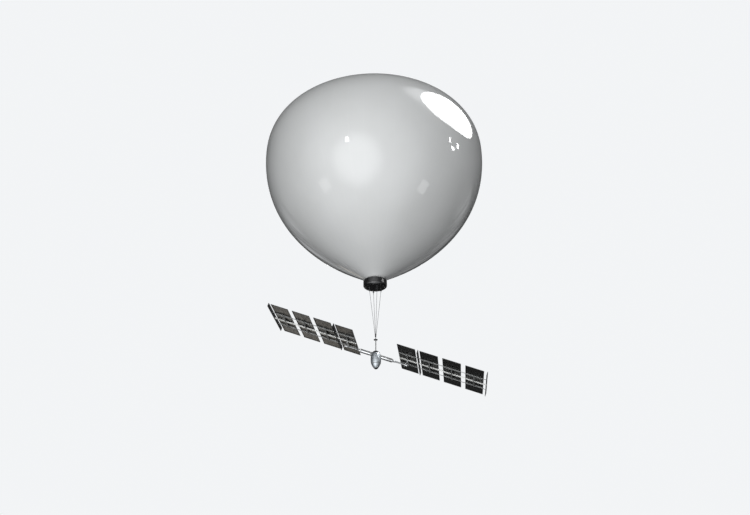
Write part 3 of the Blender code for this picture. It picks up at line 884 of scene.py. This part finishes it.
# %% Straps, hatch, band and boom collars
HATCH_MIDDLE, HATCH_WIDTH, SCREW_OFF = -90, 44, 19.5
straps = [
    egg_slice(UPPER_TOP - 0.002, POD_WAIST + 0.016, 0.004, middle, 5)
    for middle in (45, 135, 225, 315)
]
hatch = egg_slice(0.06, POD_WAIST + 0.045, 0.005, HATCH_MIDDLE, HATCH_WIDTH)
band = lathe([
    (egg(UPPER_FOOT + 0.045, -0.002), UPPER_FOOT + 0.045),
    (egg(UPPER_FOOT + 0.042, 0.005), UPPER_FOOT + 0.042),
    (egg(UPPER_FOOT + 0.004, 0.005), UPPER_FOOT + 0.004), (egg(UPPER_FOOT, -0.002), UPPER_FOOT),
], 96, closed=True)
screws = []
for height in (0.04, -0.05, -0.14, -0.23):
    for side in (-1, 1):
        facing = turn(math.radians(HATCH_MIDDLE + side * SCREW_OFF)) @ Vector((1, 0, 0))
        screws.append(bolt(facing * egg(height, 0.0045) + Vector((0, 0, height)), 0.005, facing))
boom_collar = put(lathe([(BOOM_RADIUS + proud, along) for proud, along in (
    (GAP, 0.275), (0.030, 0.285), (0.030, 0.345), (0.022, 0.352), (0.010, 0.352),
    (0.008, 0.380), (GAP, 0.382),
)], 56, closed=True), LAID)
boom_collars = copies(boom_collar, [SLOPE @ turn(math.pi), SLOPE])
piece(
    "pod_upper",
    [
        upper, painted(SHELL, *straps, hatch, band), painted(STEEL, *screws),
        painted(GREY, boom_collars),
    ],
    LEVEL, "gondola", "pod_upper_shell", 30.0,
)

# %% [markdown]
# A black cap closes the egg. Its rim stands a little proud of the shell, which draws the thin
# dark arc at the pod's top in the picture. The boom's crown passes just under the rim, so the
# cap is opened there as well.

# %% Cap
CAP_STEPS, CAP_WALL = 12, 0.02
cap_edge = egg(CAP_RIM) + CAP_PROUD
crown = [(0, POD_TOP), (CAP_SEAT, POD_TOP)]
for i in range(1, CAP_STEPS + 1):
    share = i / CAP_STEPS
    fall = (POD_TOP - CAP_RIM) * share**1.6
    crown.append((CAP_SEAT + (cap_edge - CAP_SEAT) * share, POD_TOP - fall))
lip = [(cap_edge, CAP_RIM), (cap_edge - 0.006, CAP_RIM - 0.004), (cap_edge - 0.03, CAP_RIM)]
inside = [(radius - CAP_WALL, height - CAP_WALL) for radius, height in crown[-2:0:-1]]
cap = lathe([*crown[:-1], *lip, *inside, (0, POD_TOP - CAP_WALL)], 80)
piece(
    "pod_cap_dome",
    [painted(STRIP, boom_passage(cap)), bolt_ring(12, 0.135, 0.2795, 0.006, (0.25, 0, 1))],
    LEVEL, "gondola", "pod_cap",
)

# %% [markdown]
# Below the seam come three turned pieces: the deck, whose grooved rim is the seam itself, the
# lower shell with a fine joint near its end, and the dark boss that closes the egg.

# %% Deck, lower shell and payload boss
rim = egg((DECK_TOP + DECK_FOOT) / 2) + 0.006
deck = turned(GREY, [
    (0, DECK_TOP), (rim - 0.005, DECK_TOP), (rim, DECK_TOP - 0.005), (rim, DECK_TOP - 0.012),
    (rim - 0.003, DECK_TOP - 0.015), (rim, DECK_TOP - 0.018), (rim, DECK_FOOT + 0.005),
    (rim - 0.005, DECK_FOOT), (0, DECK_FOOT),
], 96)
piece("deck_ring", [deck], LEVEL, "gondola", "equipment_deck")

LOWER_TOP = DECK_FOOT - GAP
lower = turned(SHELL, [
    (0, SHELL_END + WALL), *egg_side(SHELL_END + WALL, LOWER_TOP, -WALL, 20),
    *egg_side(LOWER_TOP, SHELL_END + 0.09, 0, 16),
    (egg(SHELL_END + 0.087, -0.003), SHELL_END + 0.087),
    (egg(SHELL_END + 0.080, -0.003), SHELL_END + 0.080),
    *egg_side(SHELL_END + 0.077, SHELL_END, 0, 10), (0, SHELL_END),
], 96)
piece("pod_lower", [lower], LEVEL, "gondola", "pod_lower_shell", 30.0)

root, BOSS_TOP, BOSS_FACE = egg(SHELL_END) + 0.012, SHELL_END - GAP, -0.905
boss = turned(BLACK, [
    (0, BOSS_TOP), (root - 0.003, BOSS_TOP), (root, BOSS_TOP - 0.003), (root, BOSS_TOP - 0.010),
    (root - 0.004, BOSS_TOP - 0.014), (root - 0.030, BOSS_TOP - 0.035),
    (0.058, BOSS_FACE + 0.006), (0.055, BOSS_FACE), (0.040, BOSS_FACE),
    (0.038, BOSS_FACE + 0.003), (0, BOSS_FACE + 0.003),
], 64)
piece("payload_foot", [boss], LEVEL, "gondola", "payload_boss")

# %% [markdown]
# Inside the egg a block of batteries stands on the deck. Little of it ever shows, but it is
# finished as well: a wrapped core with three straps.

# %% Battery block
CORE_RADIUS, CORE_TOP = 0.200, -0.24
core = turned(CELLPACK, [
    (0, CORE_TOP), (CORE_RADIUS - 0.010, CORE_TOP), (CORE_RADIUS, CORE_TOP - 0.010),
    (CORE_RADIUS, DECK_TOP + 0.012), (CORE_RADIUS - 0.005, DECK_TOP + GAP), (0, DECK_TOP + GAP),
], 48)
bands = painted(BOX, *[lathe([
    (CORE_RADIUS - 0.001, z), (CORE_RADIUS + 0.004, z - 0.002),
    (CORE_RADIUS + 0.004, z - 0.018), (CORE_RADIUS - 0.001, z - 0.020),
], 48, closed=True) for z in (-0.28, -0.37, -0.46)])
piece("battery_block", [core, bands], LEVEL, "gondola", "equipment_block")

# %% [markdown]
# The boom is one polished tube through the pod. In the picture it is a bright bar with a dark
# line along each side. The tube mirrors the pale room, and two slim dark conduits, one high on its
# front and one low on its back, are put along its edges as painted shade to draw the lines. Rings
# mark its ends, and a pair of clamps on each side of the pod carries the conduits in clips.

# %% Boom
SHADE_LINE_CLOCK, SHADE_LINE_RADIUS, SHADE_LINE_OFF = math.radians(22), 0.0095, 0.010
CLAMP_PLACES = (-0.52, -0.98, 0.52, 0.98)


def boom_parts():
    end, edge = BOOM_HALF, BOOM_RADIUS
    bar = put(turned(SILVER, symmetric([
        (0, -end), (edge - 0.022, -end), (edge - 0.006, -end + 0.008),
        (edge + 0.004, -end + 0.020), (edge + 0.004, -end + 0.060), (edge, -end + 0.066),
        (edge, -0.470),
    ]), 64), LAID)
    ring = put(lathe(symmetric([(edge, 0.016), (edge + 0.006, 0.014)]), 56, closed=True), LAID)
    clamps = copies(ring, [shift(x) for x in CLAMP_PLACES])
    clips = [
        block((x - 0.012, -0.020, -edge - 0.026), (x + 0.012, 0.020, -edge - 0.004), 0.003)
        for x in CLAMP_PLACES
    ]
    # Two dark conduits set on the tube's edges are painted shade: they draw the dark lines along
    # the bar's sides.
    off = -edge - SHADE_LINE_OFF
    shade_line_conduits = [
        round_bar((side * 0.40, 0, off), (side * 1.09, 0, off), SHADE_LINE_RADIUS, 14, 0.003)
        for side in (-1, 1)
    ]
    both_edges = [turn(SHADE_LINE_CLOCK + half_turn, "X") for half_turn in (0, math.pi)]
    return [
        bar, painted(GREY, clamps, copies(joined(clips), both_edges)),
        painted(CABLE, copies(joined(shade_line_conduits), both_edges)),
    ]


piece("boom_bar", boom_parts(), ALONG, "gondola", "boom_tube")

# %% [markdown]
# A drive sits at each end of the boom and turns its wing. Its housing steps down in a cone to
# the bearing where the wing's shaft comes out. The bore stays open round the shaft.

# %% Drives at the boom's ends
NOSE_ROOT, NOSE_TIP = BOOM_HALF + GAP, BOOM_HALF + 0.21
SHAFT_RADIUS, BORE, SHAFT_START = 0.045, 0.0458, 1.17
BORE_END = SHAFT_START - 0.01


def drive_nose():
    nose = turned(SHAFT, [
        (0, BORE_END), (BORE, BORE_END), (BORE, NOSE_TIP), (0.053, NOSE_TIP),
        (0.058, NOSE_TIP - 0.005), (0.058, NOSE_TIP - 0.026), (0.055, NOSE_TIP - 0.029),
        (0.055, NOSE_TIP - 0.034), (0.061, NOSE_TIP - 0.042), (0.076, NOSE_ROOT + 0.082),
        (0.079, NOSE_ROOT + 0.074), (0.085, NOSE_ROOT + 0.068), (0.085, NOSE_ROOT + 0.020),
        (0.081, NOSE_ROOT + 0.017), (0.081, NOSE_ROOT + 0.012), (0.085, NOSE_ROOT + 0.009),
        (0.085, NOSE_ROOT), (0, NOSE_ROOT),
    ], 56)
    bolts = bolt_ring(8, 0.081, NOSE_ROOT + 0.0695, 0.0045, (0.1, 0, 1))
    return [put(nose, LAID), put(bolts, LAID)]


piece("drive_right", drive_nose(), ALONG, "gondola", "drive_nose_right")
piece(
    "drive_left", [mirrored(part) for part in drive_nose()], ALONG, "gondola",
    "drive_nose_left",
)

# %% [markdown]
# From here everything belongs to a wing. The right wing is modelled along +X in the boom's
# frame, and the left wing is the same shape mirrored. A helper hands over both at once.

# %% Wing places and a helper for both sides
STARTS = [PANEL_START + PANEL_PITCH * i for i in range(PANELS)]
MIDDLES = [start + PANEL_WIDTH / 2 for start in STARTS]
WING_TIP = STARTS[-1] + PANEL_WIDTH
TUBE_RADIUS, TUBE_LEVEL = 0.0425, PANEL_HEIGHT - 0.030
STRINGER_RADIUS, STRINGER_OFFSET = 0.0225, 0.21 * PANEL_CHORD
STRINGER_LEVEL = PANEL_HEIGHT - STRINGER_RADIUS - GAP
BEAM_MIDDLES = {"inner": PANEL_START + PANEL_WIDTH + 0.145, "tip": WING_TIP + 0.200}


def both_wings(name, make, node):
    """Makes the shape twice and hands it over as NAME_right and NAME_left."""
    for side in ("right", "left"):
        parts = make()
        if side == "left":
            parts = [mirrored(part) for part in parts]
        piece(f"{name}_{side}", parts, ALONG, f"wing_{side}", node.format(side=side))


print("wing reaches", round(WING_TIP, 3), "m along the boom")

# %% [markdown]
# The shaft comes out of the drive and ends in the star bracket under the first panel. The
# bracket has four short arms with swollen tips, and a post with two gussets up to the rib.

# %% Wing shaft
HUB_HALF = 0.085


def shaft_parts():
    end = MIDDLES[0] - HUB_HALF - GAP
    return [put(turned(SHAFT, [
        (0, SHAFT_START), (0.040, SHAFT_START), (SHAFT_RADIUS, SHAFT_START + 0.005),
        (SHAFT_RADIUS, 1.400), (0.052, 1.405), (0.052, 1.440), (SHAFT_RADIUS, 1.445),
        (SHAFT_RADIUS, end - 0.075), (0.056, end - 0.070), (0.056, end - 0.030),
        (0.060, end - 0.026), (0.060, end - 0.002), (0.058, end), (0, end),
    ], 48), LAID)]


both_wings("wing_tube_shaft", shaft_parts, "wing_shaft_{side}")

# %% Star bracket
ARM_REACH, ARM_RADIUS, ARM_TIP, SWELLING = 0.145, 0.022, 0.017, (0.026, 0.004)
POST_TOP = PANEL_HEIGHT - 0.080 - GAP
FLANGE_FOOT = POST_TOP - 0.014
GUSSET_FOOT, GUSSET_ROOT, GUSSET_EDGE = 0.16, 0.024, 0.056


def gusset(middle):
    """A thin plate beside the post. Its outer edge is drawn in at the foot."""
    plate = block(
        (middle - 0.005, GUSSET_ROOT, GUSSET_FOOT),
        (middle + 0.005, GUSSET_EDGE, POST_TOP - 0.010),
    )
    for vertex in plate.data.vertices:
        if vertex.co.z < GUSSET_FOOT + 0.01 and vertex.co.y > GUSSET_ROOT + 0.01:
            vertex.co.y = GUSSET_ROOT + 0.003
    return plate


def star_parts():
    middle = MIDDLES[0]
    shapes = [put(lathe(symmetric([
        (0, -HUB_HALF), (0.050, -HUB_HALF), (0.058, -0.078), (0.062, -0.062),
        (0.062, -0.030), (0.065, -0.026),
    ]), 40), shift(z=middle), LAID)]
    for x, z in ((1, 1), (1, -1), (-1, 1), (-1, -1)):
        facing = Vector((x, 0, z)).normalized()
        start = Vector((middle + x * 0.03, 0, z * 0.03))
        tip = Vector((middle, 0, 0)) + facing * ARM_REACH
        low, high = (tip - facing * back for back in SWELLING)
        shapes.append(round_bar(start, tip, ARM_RADIUS, 16, tip=ARM_TIP))
        shapes.append(round_bar(low, high, ARM_RADIUS, 16, 0.004))
    shapes.append(round_bar((middle, 0, 0.04), (middle, 0, FLANGE_FOOT), 0.028, 28))
    low, high = (middle - 0.045, -0.06, FLANGE_FOOT), (middle + 0.045, 0.06, POST_TOP)
    shapes.append(block(low, high, 0.003))
    half_turn = shift(middle) @ turn(math.pi) @ shift(-middle)
    shapes.append(copies(gusset(middle), [half_turn, UNMOVED]))
    bolts = copies(bolt((middle, 0, 0), 0.007), [
        shift(x, y, POST_TOP - 0.0135) for x in (-0.032, 0.032) for y in (-0.046, 0.046)
    ])
    return [painted(SILVER, *shapes), painted(STEEL, bolts)]


both_wings("star_hub", star_parts, "star_bracket_{side}")

# %% [markdown]
# Under the panels lies a light frame. A white tube runs down the middle, with a white tray
# under it that carries the cables between the ribs, and with sleeves in the gaps between panels.
# A slim stringer lies on each side. Beside each stringer a second rod and a zigzag of thin rods
# make a lattice, which shows in the picture as pale streaks along the panels.

# %% Wing frame: middle tube and stringers
FRAME_START, FRAME_END = PANEL_START + 0.01, BEAM_MIDDLES["tip"] + 0.035
TRAY_HALF, TRAY_FOOT, TRAY_RIM, TRAY_WALL = 0.074, TUBE_LEVEL - 0.046, TUBE_LEVEL - 0.022, 0.005
SLEEVES, SLEEVE_LENGTH = (0.030, 0.056), 0.018
LATTICE_WIDTH, LATTICE_ROD, LACING_ROD, BAYS = 0.17, 0.012, 0.007, 8


def tray_spans():
    """The tray stops at each rib, and starts a little later behind the inner edge's rib."""
    for number, (start, middle) in enumerate(zip(STARTS, MIDDLES)):
        yield start + (0.12 if number == 0 else 0.02), middle - 0.055
        yield middle + 0.055, start + PANEL_WIDTH - 0.02


def middle_tube():
    start, end = (FRAME_START, 0, TUBE_LEVEL), (FRAME_END, 0, TUBE_LEVEL)
    shapes = [round_bar(start, end, TUBE_RADIUS, 36, 0.004)]
    for low, high in tray_spans():
        floor_top = TRAY_FOOT + 0.006
        shapes.append(block((low, -TRAY_HALF, TRAY_FOOT), (high, TRAY_HALF, floor_top), 0.002))
        for y in (-TRAY_HALF, TRAY_HALF - TRAY_WALL):
            corner = (high, y + TRAY_WALL, TRAY_RIM)
            shapes.append(block((low, y, TRAY_FOOT), corner, 0.001, 1))
    for start in STARTS[:-1]:
        for off in SLEEVES:
            x = start + PANEL_WIDTH + off
            low, high = (x, 0, TUBE_LEVEL), (x + SLEEVE_LENGTH, 0, TUBE_LEVEL)
            shapes.append(round_bar(low, high, TUBE_RADIUS + 0.007, 36, 0.003))
    return painted(WHITE, *shapes)


def stringer(side):
    """A stringer with its lattice: a second rod and a zigzag between them, under each panel."""
    outer, inner = side * STRINGER_OFFSET, side * (STRINGER_OFFSET - LATTICE_WIDTH)
    level = STRINGER_LEVEL
    rods = [round_bar(
        (FRAME_START, outer, level), (FRAME_END, outer, level), STRINGER_RADIUS, 20, 0.003)]
    for start in STARTS:
        low, high = start + 0.05, start + PANEL_WIDTH - 0.05
        rods.append(round_bar((low, inner, level), (high, inner, level), LATTICE_ROD, 12))
        for i in range(BAYS):
            x0, x1 = (low + (high - low) * step / BAYS for step in (i, i + 1))
            y0, y1 = (inner, outer) if i % 2 == 0 else (outer, inner)
            rods.append(round_bar((x0, y0, level), (x1, y1, level), LACING_ROD, 8))
    return rods


# %% [markdown]
# Flat grey ribs cross the tubes under each panel's middle. Each is a channel of a floor and two
# walls, with a foot plate and four bolts under every tube. A plain rib closes the inner edge.

# %% Wing frame: ribs
RIB_REACH, RIB_LOW, RIB_HIGH = STRINGER_OFFSET + 0.04, PANEL_HEIGHT - 0.080, PANEL_HEIGHT - 0.038
RIB_HALF, RIB_WALL, RIB_FLOOR = 0.035, 0.006, 0.010
PLATE_FOOT = RIB_LOW - 0.006
EDGE_RIB, EDGE_RIB_HALF = PANEL_START + 0.09, 0.0175


def rib(middle):
    """The blocks of one rib, and the places of its bolts."""
    def centred(x0, x1, y0, y1, foot, top, rounding):
        return block((middle + x0, y0, foot), (middle + x1, y1, top), rounding)

    shapes, bolts = [], []
    floor_top = RIB_LOW + RIB_FLOOR
    shapes.append(centred(-RIB_HALF, RIB_HALF, -RIB_REACH, RIB_REACH, RIB_LOW, floor_top, 0.003))
    for x in (-RIB_HALF, RIB_HALF - RIB_WALL):
        shapes.append(centred(x, x + RIB_WALL, -RIB_REACH, RIB_REACH, RIB_LOW, RIB_HIGH, 0.002))
    for y in (-STRINGER_OFFSET, STRINGER_OFFSET):
        top = RIB_LOW + 0.020
        shapes.append(centred(-0.045, 0.045, y - 0.035, y + 0.035, PLATE_FOOT, top, 0.004))
        bolts += [(middle + x, y + dy, PLATE_FOOT) for x in (-0.03, 0.03) for dy in (-0.02, 0.02)]
    shapes.append(centred(-0.050, 0.050, -0.085, 0.085, PLATE_FOOT, floor_top, 0.004))
    bolts += [(middle + x, y, PLATE_FOOT) for x in (-0.035, 0.035) for y in (-0.066, 0.066)]
    return shapes, bolts


def frame_parts():
    white = middle_tube()
    grey, bolts = [*stringer(-1), *stringer(1)], []
    for middle in MIDDLES:
        shapes, places = rib(middle)
        grey += shapes
        bolts += [shift(*place) for place in places]
    low = (EDGE_RIB - EDGE_RIB_HALF, -RIB_REACH, RIB_LOW + 0.004)
    grey.append(block(low, (EDGE_RIB + EDGE_RIB_HALF, RIB_REACH, RIB_HIGH), 0.004))
    return [white, painted(GREY, *grey), painted(STEEL, copies(bolt((0, 0, 0), 0.007), bolts))]


both_wings("wing_girder", frame_parts, "wing_frame_{side}")

# %% [markdown]
# A half panel is a shallow tray of dark rails. Its underside is cut back to the back sheet, and
# its top is a sheet of glass over the cells. The tray is one cube: its bottom face is inset and
# pushed up, its top face inset and pushed down a little, and the two floors get their own
# materials. Two junction boxes with a short lead each sit near the wing's middle.


# %% Half panel: the tray
def sink(tray, up, lip, depth):
    """Insets the face that looks up (1) or down (-1), and pushes it into the tray."""
    only(tray)
    bpy.ops.object.mode_set(mode="EDIT")
    bpy.ops.mesh.select_mode(type="FACE")
    bpy.ops.mesh.select_all(action="DESELECT")
    bpy.ops.object.mode_set(mode="OBJECT")
    level = max(face.center.z * up for face in tray.data.polygons)
    for face in tray.data.polygons:
        face.select = face.normal.z * up > 0.9 and face.center.z * up > level - CLOSE
    bpy.ops.object.mode_set(mode="EDIT")
    bpy.ops.mesh.inset(thickness=lip, depth=0)
    bpy.ops.mesh.inset(thickness=0.0005, depth=0)
    bpy.ops.transform.translate(value=(0, 0, -up * depth))
    bpy.ops.object.mode_set(mode="OBJECT")


def panel_tray(start):
    low = (start, HALF_GAP, PANEL_HEIGHT)
    high = (start + PANEL_WIDTH, PANEL_CHORD / 2, PANEL_HEIGHT + PANEL_THICK)
    tray = block(low, high, 0.0012, 1)
    sink(tray, -1, FRAME_LIP, FRAME_RECESS)
    sink(tray, 1, 0.011, 0.0015)
    for material in (RAIL, BACK, CELLS):
        tray.data.materials.append(material)
    for face in tray.data.polygons:
        if face.area > 1.0:
            face.material_index = 2 if face.center.z > PANEL_HEIGHT + 0.030 else 1
    return tray


# %% Half panel: boxes and leads, and all sixteen of them
def half_panel(number, half):
    """One half panel of the right wing. The far half lies towards +Y."""
    tray = panel_tray(STARTS[number])
    middle, near, ceiling = MIDDLES[number], HALF_GAP, PANEL_HEIGHT + FRAME_RECESS

    def spot(x, y, under):
        return middle + x, near + y, ceiling - under

    boxes = [
        block(spot(-0.20, 0.22, 0.020), spot(-0.07, 0.34, -0.0005), 0.005),
        block(spot(0.09, 0.26, 0.016), spot(0.16, 0.34, -0.0005), 0.004),
    ]
    leads = [
        wire([spot(-0.135, 0.23, 0.012), spot(-0.13, 0.17, 0.010), spot(-0.06, 0.13, 0.008),
              spot(-0.02, 0.10, 0.007)], 0.004),
        wire([spot(0.125, 0.27, 0.010), spot(0.11, 0.18, 0.009), spot(0.05, 0.13, 0.008),
              spot(-0.02, 0.10, 0.007)], 0.004),
    ]
    parts = [tray, painted(BOX, *boxes), painted(CABLE, *leads)]
    return [mirrored(part, (0, 1, 0)) for part in parts] if half == "near" else parts


for number in range(PANELS):
    for half in ("near", "far"):
        both_wings(
            f"solar_panel_{number + 1}_{half}", lambda: half_panel(number, half),
            f"panel_{{side}}_{number + 1}_{half}",
        )
print("panels:", sum(name.startswith("solar_panel") for name in MADE))

# %% [markdown]
# Two black beams cross each wing, one in the first gap and one beyond the tip. They stand
# upright, as deep as a hand is long, so from below they look like dark strips that cut the white
# middle line. Each is a web with a flange along its top and foot, stiffeners, and a collar
# round each of the three tubes that run through it.

# %% Spreader beams
BEAM_HALF_WIDTH, BEAM_HALF_LENGTH = 0.015, 0.47 * PANEL_CHORD
BEAM_FOOT, BEAM_TOP = PANEL_HEIGHT - 0.115, PANEL_HEIGHT + 0.109
STIFFENERS, PLATE, COLLAR_WALL = 9, 0.006, 0.022
TUBES = [(0.0, TUBE_LEVEL, TUBE_RADIUS, 36)]
TUBES += [(y, STRINGER_LEVEL, STRINGER_RADIUS, 20) for y in (-STRINGER_OFFSET, STRINGER_OFFSET)]


def beam_parts(middle):
    low, high = middle - BEAM_HALF_WIDTH, middle + BEAM_HALF_WIDTH
    half, foot, top = BEAM_HALF_LENGTH, BEAM_FOOT, BEAM_TOP
    shapes = [block((middle - 0.004, -half, foot), (middle + 0.004, half, top), 0.001, 1)]
    for z in (foot, top - PLATE):
        shapes.append(block((low, -half, z), (high, half, z + PLATE), 0.002))
    for i in range(STIFFENERS):
        y = (half - PLATE / 2) * (2 * i / (STIFFENERS - 1) - 1)
        if abs(y) > 0.1:
            shapes.append(block(
                (low + 0.002, y - PLATE / 2, foot + 0.003),
                (high - 0.002, y + PLATE / 2, top - 0.003), 0.001, 1,
            ))
    for y, level, radius, sides in TUBES:
        shapes.append(round_bar((low, y, level), (high, y, level), radius + COLLAR_WALL, 40, 0.003))
    for shape in shapes:
        for y, level, radius, sides in TUBES:
            start, end = (low - 0.05, y, level), (high + 0.05, y, level)
            drilled(shape, round_bar(start, end, radius + GAP, sides))
    bolts = []
    for y, level, radius, sides in TUBES:
        spots = [shift(0, y, level) @ turn(math.tau * k / 6, "X") for k in range(6)]
        one = bolt((high - 0.001, 0, radius + COLLAR_WALL / 2), 0.0045, (1, 0, 0))
        bolts.append(copies(one, spots))
    return [painted(STRIP, *shapes), painted(STEEL, *bolts)]


for place, middle in BEAM_MIDDLES.items():
    both_wings(
        f"cross_beam_{place}", lambda: beam_parts(middle),
        f"spreader_bar_{{side}}_{place}",
    )

# %% [markdown]
# The studio. The camera looks up, so the pale floor lies at its feet and stays out of the
# picture. It glows a little by itself and is kept out of the film's reflections, or its edge
# would cut the envelope in two halves.

# %% Floor
FLOOR_DROP, FLOOR_RADIUS = 0.30, 220
bpy.ops.object.select_all(action="DESELECT")
bpy.ops.mesh.primitive_circle_add(
    vertices=96, radius=FLOOR_RADIUS, fill_type="NGON",
    location=(0, 0, camera.location.z - FLOOR_DROP),
)
floor = bpy.context.object
floor.name = "floor"
floor.data.materials.append(Finish(
    "pale floor", Specular_IOR_Level=0.0, Emission_Color=(0.90, 0.92, 0.94),
    Emission_Strength=0.86,
).clouds((0.05, 0.05, 0.05), 0.2, share=0.02, rough=(0.6, 0.75)))
floor.visible_diffuse = floor.visible_glossy = False
print("floor level:", round(floor.location.z, 2))

# %% [markdown]
# The camera sees an even pale backdrop, while the glossy film mirrors a softer, darker room. It
# is bright in front and dim behind and at the sides, which gives the envelope its dark rims. A
# small hot spot makes the broad shine on its front, a second one the halo beside the softbox,
# and a striped band low behind it the streaks near its lower rims.

# %% The room's light
FRONT_GLOW, HOT_GLOW, HALO_GLOW, TOP_GLOW, BASE_GLOW = 1.50, 2.2, 2.6, 0.10, 0.02
STRIPES, BAND_NARROW, BAND_FLOOR, BAND_GLOW = (16, 16, 1.5), 22.0, 0.42, 3.4
BACKDROP_COLOR, BACKDROP_LEVEL = (0.97, 0.985, 1.0), 0.92


def direction(azimuth, rise):
    """A unit vector: azimuth 0 looks back at the camera's side, 90 to the right, rise is up."""
    azimuth, rise = math.radians(azimuth), math.radians(rise)
    return Vector((
        math.sin(azimuth) * math.cos(rise), -math.cos(azimuth) * math.cos(rise), math.sin(rise)
    ))


def make_world():
    world = bpy.data.worlds.new("studio")
    bpy.context.scene.world = world
    room = Tree(world, "Generated")

    def glow(towards, start, strength=1.0, stop=1.0):
        """Brightness that grows smoothly towards one direction of the room."""
        sockets = {0: room.place, 1: towards}
        near = room.add("VectorMath", "Value", sockets, operation="DOT_PRODUCT")
        return room.ranged(
            near, start, stop, 0.0, strength, interpolation_type="SMOOTHERSTEP")

    light = glow(direction(-8, -27), 0.15, FRONT_GLOW) + glow(direction(-14, -21), 0.84, HOT_GLOW)
    light = light + glow(direction(76, 50), 0.92, HALO_GLOW) + glow(UP, -0.2, TOP_GLOW) + BASE_GLOW
    height = room.split(room.place)[2]
    band = (height * height * -BAND_NARROW + 1.0).do("MAXIMUM", 0.0)
    band = band * glow((0, 1, 0), 0.35, stop=0.75)
    striped = room.add("Mapping", "Vector", {"Vector": room.place, "Scale": STRIPES})
    stripes = (room.noise(1.0, 3.0, striped) - BAND_FLOOR).do("MAXIMUM", 0.0)
    light = light + band * stripes * BAND_GLOW
    seen = room.add("LightPath", "Is Camera Ray")
    tone = room.add("Mix", 0, {"Factor": seen, 2: light, 3: BACKDROP_LEVEL}, data_type="FLOAT")
    backdrop = room.nodes["Background"].inputs
    room.feed(backdrop["Color"], BACKDROP_COLOR)
    room.feed(backdrop["Strength"], tone)


make_world()
bpy.context.scene.view_settings.view_transform = "Standard"
print("room nodes:", len(bpy.context.scene.world.node_tree.nodes))

# %% [markdown]
# Real softboxes are added where the film mirrors them. A mirror image sits where the surface
# halves the angle between the eye and the lamp, so each lamp's direction was worked out from
# the place of its highlight on the envelope. These lamps only show in reflections, and the room
# itself gives the soft even light. Two washes, from behind and above, do the opposite.

# %% Softboxes and small lamps
ENVELOPE_AIM = (0, 0, -2)
FAR = 44
lamps = []


def lamp(
    name, azimuth, rise, distance, size, brightness, aim=ENVELOPE_AIM, wash=False,
    shape="RECTANGLE", tint=(1.0, 1.0, 1.0),
):
    """A flat lamp that looks at aim. Brightness is its own, however large it is."""
    data = bpy.data.lights.new(name, "AREA")
    data.shape, data.color = shape, tint
    data.size, data.size_y = size
    fill = math.pi / 4 if shape == "ELLIPSE" else 1
    data.energy = brightness * math.pi * size[0] * size[1] * fill
    light = into_scene(name, data)
    away = direction(azimuth, rise)
    facing = away.to_track_quat("Z", "Y").to_matrix().to_4x4()
    light.matrix_world = Matrix.Translation(Vector(aim) + away * distance) @ facing
    light.visible_camera = False
    light.visible_diffuse, light.visible_glossy = wash, not wash
    lamps.append(light)


lamp("upper right softbox", 91.5, 42, FAR, (46, 27), 9.0, shape="ELLIPSE")
lamp("left glint", -19.5, -1.2, FAR, (2.4, 3.6), 16.0)
lamp("right glint one", 79.8, 14.3, FAR, (1.9, 3.0), 16.0)
lamp("right glint two", 90.3, 14.2, FAR, (1.9, 3.0), 16.0)
lamp("right glint three", 84.2, 9.6, FAR, (2.8, 2.0), 16.0)
lamp("right card", 72, -33, 34, (6, 7), 1.6, (3.5, -4.8, -4.7))
lamp("left card", -61, -31, 34, (7, 7), 1.0, (-2.6, -5.5, -4.5))
lamp(
    "card behind the left wing", -160.2, -8.9, 60, (16, 10), 0.85, (-4.2, 0, -12.5),
    tint=(1.0, 0.92, 0.80),
)
lamp("back fill", -175, 10, 70, (22, 22), 23.0, wash=True)
lamp("back softbox", -175, 27, 70, (16, 22), 5.0)
lamp("floor wash", 0, 89, 60, (60, 60), 0.5, wash=True)
print("lamps:", len(lamps))

# %% [markdown]
# Last, the number of pieces made is printed.

# %% Hand over
print("pieces made:", len(MADE))
